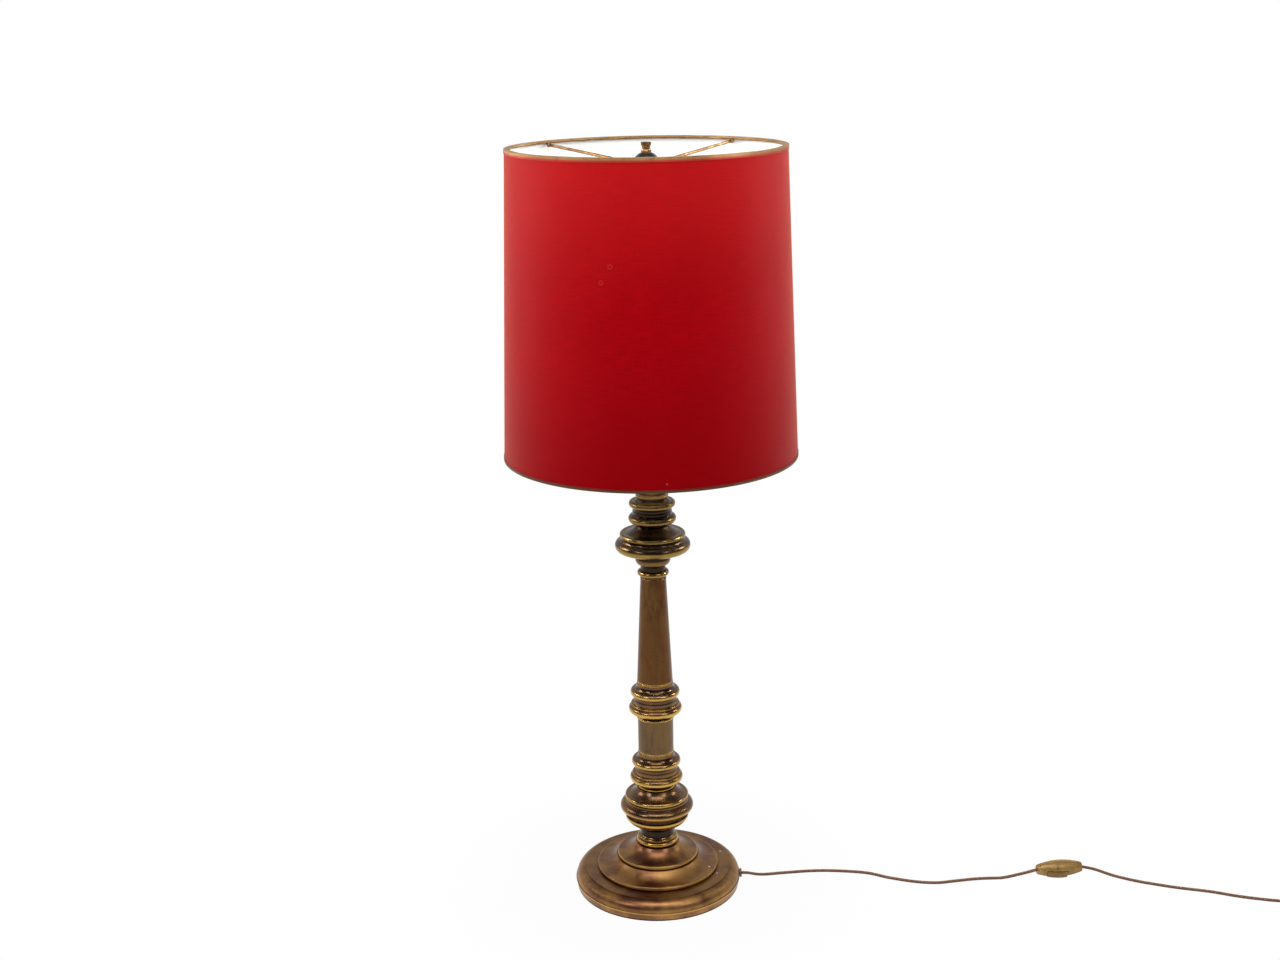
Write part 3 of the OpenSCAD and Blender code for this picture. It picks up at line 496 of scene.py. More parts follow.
@dataclass(frozen=True)
class FittingBrass(Finish):
    """Plain brass of the fittings, slightly tarnished, with painted shade darkening its corners."""

    bright: Colour = (0.42, 0.25, 0.085)
    dull: Colour = (0.20, 0.11, 0.045)
    grime_and_shade: Colour = (0.03, 0.018, 0.010)
    gloss: Span = (0.24, 0.42)
    cloud: float = 9 * MM
    cloud_span: Span = (0.40, 0.64)
    shelter: float = 4 * MM
    shelter_span: Span = (0.25, 0.75)
    hollow_shade_share: float = 0.8
    grain: float = 0.5 * MM
    relief: float = 0.03 * MM

    def paint(self, graph: Graph) -> None:
        """Lays the tarnish, the painted shade in the corners and the grain.

        Args:
            graph: Graph of the material.
        """
        cloud = graph.noise(self.cloud, detail=5.0, roughness=0.6)
        # Painted shade in the corners.
        air = graph.open_air(self.shelter)
        tone = graph.mix(graph.rise(cloud, self.cloud_span), self.bright, self.dull)
        tone = graph.mix(graph.rise(air, self.shelter_span, (self.hollow_shade_share, 0.0)), tone, self.grime_and_shade)
        graph.surface(base_color=tone, metallic=1.0, roughness=graph.rise(cloud, MIDDLE, self.gloss))
        graph.bump(graph.noise(self.grain, detail=2.0), self.relief)


@dataclass(frozen=True)
class RedCloth(Finish):
    """Smooth satin cloth laminated on card, with painted light at the top and painted shade at the foot.

    It has long slubs round the drum, faint upright folds, fine threads both ways and a soft gloss.
    Blisters and flecks are single blemishes, at points in millimetres.
    """

    red: Colour = (0.455, 0.0007, 0.0053)
    deep: Colour = (0.315, 0.0003, 0.0036)
    pale: Colour = (0.520, 0.120, 0.095)
    # Painted light towards the top and painted shade towards the foot, laid into the dye by height.
    painted_top_light: Colour = (0.500, 0.012, 0.012)
    painted_foot_shade: Colour = (0.300, 0.0003, 0.0034)
    foot: float = 0.62
    head: float = 1.01
    painted_top_light_most: float = 0.5
    painted_foot_shade_most: float = 0.75
    drum_r: float = 183 * MM
    thread: float = 0.6 * MM
    slub: float = 1.1 * MM
    slub_draw: float = 0.05
    fold: float = 1.3 * MM
    fold_draw: float = 0.08
    fold_shift: float = 4.0
    weave_span: Span = (0.34, 0.66)
    stain: float = 90 * MM
    stain_span: Span = (0.45, 0.70)
    stained: float = 0.35
    blisters: tuple[Point, ...] = ()
    blister_r: float = 3.4 * MM
    blister_tone: float = 0.16
    blister_rise: float = 1.4
    flecks: tuple[Point, ...] = ()
    fleck_edge: Span = (0.8 * MM, 2.0 * MM)
    flecked: float = 0.45
    gloss: Span = (0.42, 0.52)
    relief: float = 0.12 * MM

    def weave(self, graph: Graph) -> tuple[Socket, Socket]:
        """Slubs and folds of the cloth, and its relief with the threads.

        Args:
            graph: Graph to add to.

        Returns:
            The pattern and the relief.
        """
        girth, z = graph.around(self.drum_r), graph.z
        along = graph.join(graph.math("MULTIPLY", girth, self.slub_draw), z, 0.0)
        upright = graph.join(graph.math("MULTIPLY", z, self.fold_draw), girth, self.fold_shift)
        slub, fold = graph.noise(self.slub, at=along), graph.noise(self.fold, detail=2.0, at=upright)
        warp, weft = (graph.math("SINE", graph.math("MULTIPLY", way, FULL_TURN / self.thread))
                      for way in (girth, z))
        pattern = graph.weigh((slub, 0.7), (fold, 0.3))
        return pattern, graph.weigh((graph.math("MULTIPLY", warp, weft), 0.12), (pattern, 0.5))

    def dye(self, graph: Graph, pattern: Socket) -> Socket:
        """Colour of the cloth without its blemishes; painted light at the top, painted shade at the foot.

        Args:
            graph: Graph to add to.
            pattern: Slubs and folds.

        Returns:
            The colour.
        """
        middle = (self.foot + self.head) / 2
        stain = graph.noise(self.stain, detail=4.0)
        tone = graph.mix(graph.rise(pattern, self.weave_span), self.deep, self.red)
        tone = graph.mix(graph.rise(stain, self.stain_span, (0.0, self.stained)), tone, self.deep)
        # Painted light, paler towards the top; painted shade, deeper towards the foot.
        tone = graph.mix(graph.rise(graph.z, (middle, self.head), (0.0, self.painted_top_light_most)), tone, self.painted_top_light)
        return graph.mix(graph.rise(graph.z, (self.foot, middle), (self.painted_foot_shade_most, 0.0)), tone, self.painted_foot_shade)

    def paint(self, graph: Graph) -> None:
        """Lays the dye, the weave and the blemishes.

        Args:
            graph: Graph of the material.
        """
        pattern, height = self.weave(graph)
        tone = self.dye(graph, pattern)
        ring_r, ring_half = 0.7 * self.blister_r, 0.45 * self.blister_r
        for blister in self.blisters:
            off = graph.math("ABSOLUTE", graph.math("SUBTRACT", graph.away(blister), ring_r))
            ring = graph.rise(off, (0.0, ring_half), (1.0, 0.0))
            height = graph.math("ADD", height, graph.math("MULTIPLY", ring, self.blister_rise))
            tone = graph.mix(graph.math("MULTIPLY", ring, self.blister_tone), tone, self.pale)
        for fleck in self.flecks:
            spot = graph.rise(graph.away(fleck), self.fleck_edge, (self.flecked, 0.0))
            tone = graph.mix(spot, tone, self.pale)
        graph.surface(base_color=tone, roughness=graph.rise(pattern, WIDE, self.gloss),
                      specular_ior_level=0.17, specular_tint=(1.0, 0.22, 0.14), sheen_weight=0.64,
                      sheen_roughness=0.25, sheen_tint=(1.0, 0.27, 0.12))
        graph.bump(height, self.relief)


@dataclass(frozen=True)
class Sheeting(Finish):
    """Matt sheet goods: card lining, pressed board or felt, told apart by tone and fibre."""

    tone: Colour
    shade: Colour
    fibre: float
    rough: float = 0.6
    relief: float = 0.03 * MM
    fibre_most: float = 0.6
    cloud_of_fibres: float = 40
    cloud_span: Span = (0.50, 0.75)
    cloud_most: float = 0.5

    def paint(self, graph: Graph) -> None:
        """Lays the fibres and a soft cloud.

        Args:
            graph: Graph of the material.
        """
        fibre = graph.noise(self.fibre, detail=5.0, roughness=0.7)
        cloud = graph.noise(self.fibre * self.cloud_of_fibres)
        tone = graph.mix(graph.rise(fibre, MIDDLE, (0.0, self.fibre_most)), self.tone, self.shade)
        tone = graph.mix(graph.rise(cloud, self.cloud_span, (0.0, self.cloud_most)), tone, self.shade)
        graph.surface(base_color=tone, roughness=self.rough, specular_ior_level=0.25)
        graph.bump(fibre, self.relief)


@dataclass(frozen=True)
class GiltTape(Finish):
    """Gilt tape with a fine twill, worn to red between two heights on the side where it meets the cloth."""

    gold: Colour = (0.52, 0.285, 0.095)
    dark: Colour = (0.23, 0.130, 0.055)
    red: Colour = (0.42, 0.050, 0.020)
    red_most: float = 0.92
    worn_from: float = 0.0
    worn_to: float = 0.0
    twill: float = 1.1 * MM
    twill_span: Span = (-0.6, 0.8)
    drum_r: float = 180 * MM
    wear: float = 12 * MM
    wear_span: Span = (0.50, 0.72)
    wear_most: float = 0.8
    gloss: Span = (0.34, 0.55)
    relief: float = 0.06 * MM

    def paint(self, graph: Graph) -> None:
        """Lays the twill, its wear and the red side.

        Args:
            graph: Graph of the material.
        """
        way = graph.math("ADD", graph.around(self.drum_r), graph.z)
        rib = graph.math("SINE", graph.math("MULTIPLY", way, FULL_TURN / self.twill))
        wear = graph.noise(self.wear, detail=5.0, roughness=0.65)
        tone = graph.mix(graph.rise(rib, self.twill_span), self.dark, self.gold)
        tone = graph.mix(graph.rise(wear, self.wear_span, (0.0, self.wear_most)), tone, self.dark)
        low, high = sorted((self.worn_from, self.worn_to))
        levels = (0.0, self.red_most) if self.worn_from < self.worn_to else (self.red_most, 0.0)
        tone = graph.mix(graph.rise(graph.z, (low, high), levels), tone, self.red)
        graph.surface(base_color=tone, metallic=0.6, roughness=graph.rise(wear, WIDE, self.gloss))
        graph.bump(rib, self.relief)


@dataclass(frozen=True)
class Moulded(Finish):
    """Moulded plastic or porcelain: a slight flow cloud, a fine skin, and dirt with painted shade in corners.
    """

    tone: Colour
    shade: Colour
    gloss: Span = (0.30, 0.45)
    metal: float = 0.0
    coat: float = 0.0
    cloud: float = 12 * MM
    cloud_span: Span = (0.40, 0.68)
    skin: float = 0.4 * MM
    relief: float = 0.005 * MM
    # Share of dirt and painted shade in the corners.
    dirt_and_shade: float = 0.75
    dirt_and_shade_dark: float = 0.35
    dirt_and_shade_reach: float = 3 * MM
    dirt_and_shade_span: Span = (0.30, 0.80)

    def paint(self, graph: Graph) -> None:
        """Lays the flow cloud, the dirt and painted shade in the corners, and the skin.

        Args:
            graph: Graph of the material.
        """
        cloud = graph.noise(self.cloud, detail=4.0)
        tone = graph.mix(graph.rise(cloud, self.cloud_span), self.tone, self.shade)
        # Dirt and painted shade darken the corners that the piece's own faces enclose.
        if self.dirt_and_shade > 0:
            dirt_and_shade_tone = tuple(self.dirt_and_shade_dark * c for c in self.shade)
            air = graph.open_air(self.dirt_and_shade_reach)
            tone = graph.mix(graph.rise(air, self.dirt_and_shade_span, (self.dirt_and_shade, 0.0)), tone, dirt_and_shade_tone)
        graph.surface(base_color=tone, metallic=self.metal, roughness=graph.rise(cloud, MIDDLE, self.gloss),
                      coat_weight=self.coat, coat_roughness=0.1)
        graph.bump(graph.noise(self.skin, detail=2.0), self.relief)


@dataclass(frozen=True)
class RawMetal(Finish):
    """Cast iron or plated steel, grainy and spotted."""

    tone: Colour
    shade: Colour
    gloss: Span
    grain: float
    relief: float
    spot_of_grains: float = 25
    spot_span: Span = (0.40, 0.66)

    def paint(self, graph: Graph) -> None:
        """Lays the spots and the grain.

        Args:
            graph: Graph of the material.
        """
        spot = graph.noise(self.grain * self.spot_of_grains, detail=5.0, roughness=0.6)
        grain = graph.noise(self.grain)
        tone = graph.mix(graph.rise(spot, self.spot_span), self.tone, self.shade)
        graph.surface(base_color=tone, metallic=0.9, roughness=graph.rise(grain, WIDE, self.gloss))
        graph.bump(grain, self.relief)


@dataclass(frozen=True)
class TwinFlex(Finish):
    """Copper-brown plastic of the twin flex, coloured darker over one core than over the other.

    The mesh tells the cores apart by a value at each corner, from -1 on one side to 1 on the other.
    """

    pale: Colour = (0.380, 0.180, 0.095)
    dark: Colour = (0.205, 0.098, 0.054)
    core: str = "core"
    core_span: Span = (-0.35, 0.25)
    scuff: float = 6 * MM
    scuff_span: Span = (0.46, 0.70)
    scuffed: float = 0.55
    gloss: Span = (0.44, 0.58)
    skin: float = 4 * MM
    relief: float = 0.006 * MM

    def paint(self, graph: Graph) -> None:
        """Lays the two cores and their scuffs.

        Args:
            graph: Graph of the material.
        """
        side = graph.node("ShaderNodeAttribute", attribute_name=self.core).outputs["Fac"]
        scuff = graph.noise(self.scuff, detail=5.0, roughness=0.6)
        tone = graph.mix(graph.rise(side, self.core_span), self.dark, self.pale)
        tone = graph.mix(graph.rise(scuff, self.scuff_span, (0.0, self.scuffed)), tone, self.dark)
        graph.surface(base_color=tone, roughness=graph.rise(scuff, WIDE, self.gloss), specular_ior_level=0.35)
        graph.bump(graph.noise(self.skin, detail=1.0), self.relief)


def dress(nodes: Iterable[str], finish: Finish) -> None:
    """Gives CAD nodes their finish.

    Args:
        nodes: Names of the nodes.
        finish: Finish they share.
    """
    material = finish.material()
    for name in nodes:
        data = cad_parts[name].data
        data.materials.clear()
        data.materials.append(material)
        LOG.info("dressed %s: %s", name, finish.name)


def new_piece(name: str, points: Sequence[Vector], faces: Sequence[Sequence[int]], finish: Finish,
              body: Body, slot: Slot) -> bpy.types.Object:
    """Makes a smooth mesh piece that rides on a body.

    Args:
        name: Name of the piece.
        points: Corners in the part's frame.
        faces: Corners of each face.
        finish: Finish of the piece.
        body: Body that it rides on.
        slot: Material slot of the record; not used.

    Returns:
        The new object.
    """
    mesh = bpy.data.meshes.new(name)
    mesh.from_pydata([tuple(p) for p in points], [], [tuple(f) for f in faces])
    mesh.polygons.foreach_set("use_smooth", [True] * len(mesh.polygons))
    mesh.update()
    mesh.materials.append(finish.material())
    piece = bpy.data.objects.new(name, mesh)
    bpy.context.scene.collection.objects.link(piece)
    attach(piece, body.value)
    LOG.info("made %s: %d corners, %s", name, len(points), finish.name)
    return piece


def eased(share: float) -> float:
    """Share from 0 to 1, kept in that range, with a soft start and end."""
    kept = min(1.0, max(0.0, share))
    return kept * kept * (3 - 2 * kept)


def scaled(points: Iterable[Point]) -> list[Vector]:
    """Points given in millimetres, in metres."""
    return [Vector(point) * MM for point in points]


def smooth_route(points: Sequence[Vector], step: float) -> list[Vector]:
    """Curve through every point of a route.

    Args:
        points: Points of the route.
        step: Rough distance between the points of the curve.

    Returns:
        Points along the curve.
    """
    curve: list[Vector] = []
    last = len(points) - 1
    for i in range(last):
        a, b, c, d = (points[max(i - 1, 0)], points[i], points[i + 1], points[min(i + 2, last)])
        parts = max(1, round((c - b).length / step))
        for k in range(parts):
            t = k / parts
            curve.append(b + (c - a) * (t / 2) + (2 * a - 5 * b + 4 * c - d) * (t * t / 2)
                         + (3 * b - a - 3 * c + d) * (t * t * t / 2))
    return [*curve, points[last]]


def route_length(path: Sequence[Vector]) -> float:
    """Length of a path."""
    return sum((b - a).length for a, b in zip(path, path[1:]))


def swept(path: Sequence[Vector], section: Sequence[Span]) -> tuple[list[Vector], list[list[int]]]:
    """Corners and faces of a section swept level along a path, closed at both ends.

    Args:
        path: Points to follow, never straight up.
        section: Outline across the path, to the left and up.

    Returns:
        Corners and faces.
    """
    count, last = len(section), len(path) - 1
    points: list[Vector] = []
    for i, at in enumerate(path):
        way = (path[min(i + 1, last)] - path[max(i - 1, 0)]).normalized()
        side = Vector((0, 0, 1)).cross(way).normalized()
        up = way.cross(side)
        points += [at + side * across + up * rise for across, rise in section]
    faces: list[list[int]] = []
    for here in range(0, last * count, count):
        ahead = here + count
        for k in range(count):
            following = (k + 1) % count
            faces.append([here + k, ahead + k, ahead + following, here + following])
    faces += [list(range(count)), [last * count + k for k in reversed(range(count))]]
    return points, faces


@dataclass
class SoftBox:
    """One soft studio light, with the angle of its beam in degrees."""

    name: str
    place: Point
    aim: Point
    width: float
    height: float
    watts: float
    beam: float = 180.0

    def build(self) -> None:
        """Hangs the light in the scene."""
        lamp = bpy.data.lights.new(self.name, "AREA")
        lamp.shape = "RECTANGLE"
        lamp.size, lamp.size_y, lamp.energy = self.width, self.height, self.watts
        lamp.spread = math.radians(self.beam)
        box = bpy.data.objects.new(self.name, lamp)
        box.location = self.place
        box.rotation_euler = (Vector(self.aim) - Vector(self.place)).to_track_quat("-Z", "Y").to_euler()
        bpy.context.scene.collection.objects.link(box)
        LOG.info("light %s", self.name)


@dataclass
class Studio:
    """Camera, soft lights, pale floor and white surroundings."""

    image_w: float = 1280.0
    focal_px: float = 1687.4
    sensor: float = 36.0
    eye: Point = (-0.01515, -2.125, 1.173)
    look_down: float = 15.55
    roll: float = -1.062
    floor_r: float = 2.6
    floor_sides: int = 96
    floor_tone: Colour = (0.55, 0.55, 0.55)
    floor_worn: float = 0.96
    floor_grain: float = 20 * MM
    near_white: float = 0.97
    white_span: Span = (0.13, 0.40)
    room: float = 0.07
    ceiling: float = 0.14
    ceiling_span: Span = (0.55, 0.85)
    backdrop: float = 0.65
    backdrop_span: Span = (-0.1, 0.35)
    lights: tuple[SoftBox, ...] = field(default_factory=lambda: (
        SoftBox("key_left", (-1.35, -1.25, 1.60), (0.0, 0.0, 0.60), 0.45, 0.7, 9.0),
        SoftBox("key_right", (1.25, -1.30, 1.75), (0.0, 0.0, 0.60), 0.45, 0.65, 8.0),
        SoftBox("top_soft", (0.0, -0.62, 1.78), (0.0, -0.10, 0.40), 1.2, 0.8, 15.0),
        SoftBox("side_left", (-1.60, 0.25, 1.50), (0.0, -0.02, 0.86), 0.5, 0.9, 1.5, 32.0),
        SoftBox("side_right", (1.60, 0.35, 1.50), (0.0, -0.02, 0.86), 0.3, 0.9, 1.1, 32.0),
    ))

    def build(self) -> None:
        """Sets up the whole studio."""
        bpy.context.scene.view_settings.view_transform = "Standard"
        self.stand_camera()
        self.lay_floor()
        self.surround()
        for light in self.lights:
            light.build()

    def stand_camera(self) -> None:
        """Stands the camera where the photograph was taken."""
        data = bpy.data.cameras.new("camera")
        data.sensor_fit = "HORIZONTAL"
        data.sensor_width = self.sensor
        data.lens = self.focal_px / self.image_w * self.sensor
        down, roll = math.radians(self.look_down), math.radians(self.roll)
        ahead = Vector((0, math.cos(down), -math.sin(down)))
        level, upright = Vector((1, 0, 0)), Vector((0, math.sin(down), math.cos(down)))
        right = level * math.cos(roll) + upright * math.sin(roll)
        up = upright * math.cos(roll) - level * math.sin(roll)
        turn = Matrix((right, up, -ahead)).transposed()
        camera = bpy.data.objects.new("camera", data)
        camera.matrix_world = Matrix.Translation(self.eye) @ turn.to_4x4()
        bpy.context.scene.collection.objects.link(camera)
        bpy.context.scene.camera = camera

    def lay_floor(self) -> None:
        """Lays a pale round floor that keeps the shadow near the lamp and turns white further off."""
        turns = [FULL_TURN * k / self.floor_sides for k in range(self.floor_sides)]
        rim = [(self.floor_r * math.cos(a), self.floor_r * math.sin(a), 0.0) for a in turns]
        mesh = bpy.data.meshes.new("floor")
        mesh.from_pydata(rim, [], [range(self.floor_sides)])
        graph = Graph("pale_floor")
        grain = graph.rise(graph.noise(self.floor_grain, detail=4.0), WIDE, (0.0, 0.25))
        worn = tuple(self.floor_worn * c for c in self.floor_tone)
        tone = graph.mix(grain, self.floor_tone, worn)
        graph.surface(base_color=tone, roughness=0.9, specular_ior_level=0.0)
        whiter = graph.rise(graph.radius(), self.white_span, (self.near_white, 1.0))
        white = graph.node("ShaderNodeEmission").outputs[0]
        share = graph.math("MULTIPLY", whiter, graph.seen())
        graph.feed(graph.output.inputs["Surface"], graph.blend(share, graph.shader.outputs["BSDF"], white))
        mesh.materials.append(graph.material)
        floor = bpy.data.objects.new("floor", mesh)
        bpy.context.scene.collection.objects.link(floor)

    def surround(self) -> None:
        """Makes the background white, and lights the part by a dim room with a pale backdrop behind it."""
        world = bpy.data.worlds.new("studio_room")
        world.use_nodes = True
        board = Board(world.node_tree)
        _, y, z = board.split(board.node("ShaderNodeTexCoord").outputs["Generated"])
        behind = board.rise(y, self.backdrop_span, (0.0, self.backdrop))
        wall = board.math("MULTIPLY", behind, board.rise(z, self.ceiling_span, (1.0, 0.0)))
        dim = board.rise(z, self.ceiling_span, (self.room, self.ceiling))
        room, white = (board.made_of(board.node("ShaderNodeBackground"), WHITE, strength)
                       for strength in (board.math("MAXIMUM", wall, dim), 1.0))
        straight = board.node("ShaderNodeLightPath").outputs["Is Camera Ray"]
        output = board.node("ShaderNodeOutputWorld")
        board.feed(output.inputs["Surface"], board.blend(straight, room, white))
        bpy.context.scene.world = world


@dataclass
class Flex:
    """Flat twin flex: from the base to the in-line switch, then on to a tied coil and the plug.

    The points of its route are in millimetres, as in the part's source.
    """

    width: float = 5.4 * MM
    thick: float = 2.8 * MM
    core_sweep: float = 128.0
    core_steps: int = 8
    switch_at: Point = (558.5, -7.6, 11.5)
    switch_yaw: float = 5.8
    switch_l: float = 63.0
    lamp_side: tuple[Point, ...] = (
        (116.5, 0, 9.5), (125.5, 0.5, 8.7), (146, 5, 3.4), (185, 13, 1.4), (235, 16, 1.4), (290, 8, 1.4),
        (321, -7, 1.4), (357, -20, 1.4), (386, -24, 1.4), (412, -20, 1.4), (444, -15, 1.4), (476, -14, 1.4),
        (504, -13, 6.5),
    )
    plug_side: tuple[Point, ...] = (
        (608, -7.5, 8.6), (634, -18, 3.4), (668, -33, 1.4), (709, -49, 1.4), (752, -62, 1.4), (781, -74, 1.4),
        (808, -83, 1.4), (838, -90, 1.4), (862, -89, 2.0),
    )
    coil_at: Span = (884.0, -127.0)
    coil_r: float = 30.0
    coil_steps: int = 24
    lane: float = 5.75
    lanes: int = 4
    lane_change: Span = (210.0, 360.0)
    last_part: float = 0.25
    lift: float = 0.6
    tail: tuple[Point, ...] = ((922.1, -150.0, 5.3), (920.6, -163.0, 6.8), (920.6, -172.0, 6.8))
    step: float = 2.5 * MM
    finish: TwinFlex = TwinFlex("flex_plastic")
    on_lamp_side: tuple[str, ...] = ("switch_front", "switch_back", "switch_rocker", "rocker_pin",
                                     "switch_screws")
    on_plug_side: tuple[str, ...] = ("coil_tie", "plug_body", "plug_pins")

    def section(self) -> list[Span]:
        """Outline of two round cores joined by a web, with the web's groove on both sides.

        Returns:
            Points across the flex, to the left and up.
        """
        core_r = self.thick / 2
        middle = self.width / 2 - core_r
        sweep = math.radians(self.core_sweep)
        arc = [-sweep + 2 * sweep * k / self.core_steps for k in range(self.core_steps + 1)]
        far = [(middle + core_r * math.cos(a), core_r * math.sin(a)) for a in arc]
        return far + [(-across, -rise) for across, rise in far]

    def switch_end(self, way: int) -> Vector:
        """Middle of one end of the switch.

        Args:
            way: -1 for the lamp's side, 1 for the plug's side.

        Returns:
            The point in the part's frame.
        """
        yaw = math.radians(self.switch_yaw)
        reach = Vector((math.cos(yaw), math.sin(yaw), 0)) * (way * self.switch_l / 2)
        return (Vector(self.switch_at) + reach) * MM

    def coil(self) -> list[Vector]:
        """Turns of the coil: inwards over the floor, one turn rising, and outwards on top of the rest.

        Returns:
            Points along the turns.
        """
        thick = self.thick / MM
        inward = self.lanes - 1
        outer = self.coil_r + self.lane * inward / 2
        turns = 2 * inward + self.last_part
        count = round(turns * self.coil_steps)
        start, end = self.lane_change
        points: list[Point] = []
        for k in range(count + 1):
            gone = turns * 360.0 * k / count
            moved = [eased((gone - n * 360.0 - start) / (end - start)) for n in range(2 * inward)]
            radius = outer - self.lane * (sum(moved[:inward]) - sum(moved[inward:]))
            climb = eased((gone - inward * 360.0) / start)
            angle = math.radians(90.0 - gone)
            points.append((self.coil_at[0] + radius * math.cos(angle),
                           self.coil_at[1] + radius * math.sin(angle),
                           self.lift + thick / 2 + climb * thick))
        return scaled(points)

    def lay(self, name: str, route: Sequence[Vector]) -> tuple[bpy.types.Object, list[Vector]]:
        """Lays one stretch of flex, never under the floor.

        Args:
            name: Name of the piece.
            route: Points that it follows.

        Returns:
            The piece and the path along its middle.
        """
        path = [Vector((at.x, at.y, max(at.z, self.thick / 2))) for at in smooth_route(route, self.step)]
        section = self.section()
        points, faces = swept(path, section)
        piece = new_piece(name, points, faces, self.finish, Body.LAMP, Slot.FLEX)
        core = piece.data.attributes.new(self.finish.core, "FLOAT", "POINT")
        across = [2 * side / self.width for side, _ in section]
        core.data.foreach_set("value", across * len(path))
        LOG.info("%s is %.3f m long", name, route_length(path))
        return piece, path

    def build(self) -> None:
        piece, path = self.lay("lamp_flex", [*scaled(self.lamp_side), self.switch_end(-1)])
        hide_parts("flex_lamp_side")
        piece, path = self.lay("plug_flex", [self.switch_end(1), *scaled(self.plug_side), *self.coil(),
                                             *scaled(self.tail)])
        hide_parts("flex_plug_side", "flex_coil", "flex_tail")


@dataclass
class Base:
    """Stepped base with its weight, board and felt."""

    specks: tuple[Point, ...] = ((88.5, 28.9, 28.0), (70.5, -27.0, 34.1), (80.7, -34.0, 28.0))
    # Bright lips: edge wear with painted highlights.
    rim_wear_and_highlights: tuple[Band, ...] = ((10.2, 12.6, 0.8), (28.5, 32.5, 0.6), (44.5, 49.0, 0.7))
    # Painted contact shadow at the foot and painted shade in the ledge's inner corner.
    painted_shadow_bands: tuple[Band, ...] = ((-2.0, 3.0, 0.8), (25.5, 28.6, 0.2))

    def dress(self) -> None:
        """Dresses the base's nodes."""
        # The base's brass: painted highlights on its lips, painted shade in its ledge corner and hollow
        # parts, and a painted contact shadow at its foot.
        dress(["base_shell"], SpottedBase(
            "base_brass", patina=(0.200, 0.084, 0.040), flush=(0.405, 0.212, 0.070),
            wear_and_reflection_gold=(0.60, 0.37, 0.09), cloud=50 * MM, hollow_shade_share=0.3, gloss=(0.34, 0.48),
            bright=self.rim_wear_and_highlights, dark=self.painted_shadow_bands, specks=self.specks))
        dress(["base_weight"], RawMetal(
            "cast_iron", tone=(0.045, 0.045, 0.048), shade=(0.075, 0.060, 0.050), gloss=(0.55, 0.8),
            grain=1.2 * MM, relief=0.3 * MM))
        dress(["base_cover"], Sheeting(
            "pressed_board", tone=(0.24, 0.15, 0.085), shade=(0.16, 0.10, 0.055), fibre=1.5 * MM))
        dress(["base_felt"], Sheeting(
            "green_felt", tone=(0.020, 0.060, 0.035), shade=(0.010, 0.034, 0.020), fibre=1.0 * MM,
            rough=0.95, relief=0.4 * MM))
        dress(["flex_bush"], Moulded("bush_plastic", tone=(0.235, 0.120, 0.055), shade=(0.190, 0.095, 0.042)))


@dataclass(frozen=True)
class Turning:
    """Bands of one turned piece: bright ones for wear with painted floor reflection, dark ones for painted
    shade.
    """

    node: str
    bright: tuple[Band, ...]
    dark: tuple[Band, ...]


# Bands of the collars: bright ones are wear with painted floor reflection, dark ones painted shade with dirt.
COLLAR_WEAR_AND_REFLECTION: tuple[Band, ...] = (
    (0.0, 3.6, 0.8), (8.4, 17.0, 1.0), (19.0, 24.0, 0.45), (33.0, 41.0, 0.85))
COLLAR_SHADE_AND_DIRT: tuple[Band, ...] = ((4.4, 7.6, 0.35), (26.0, 32.0, 0.3), (43.0, 48.0, 0.45))


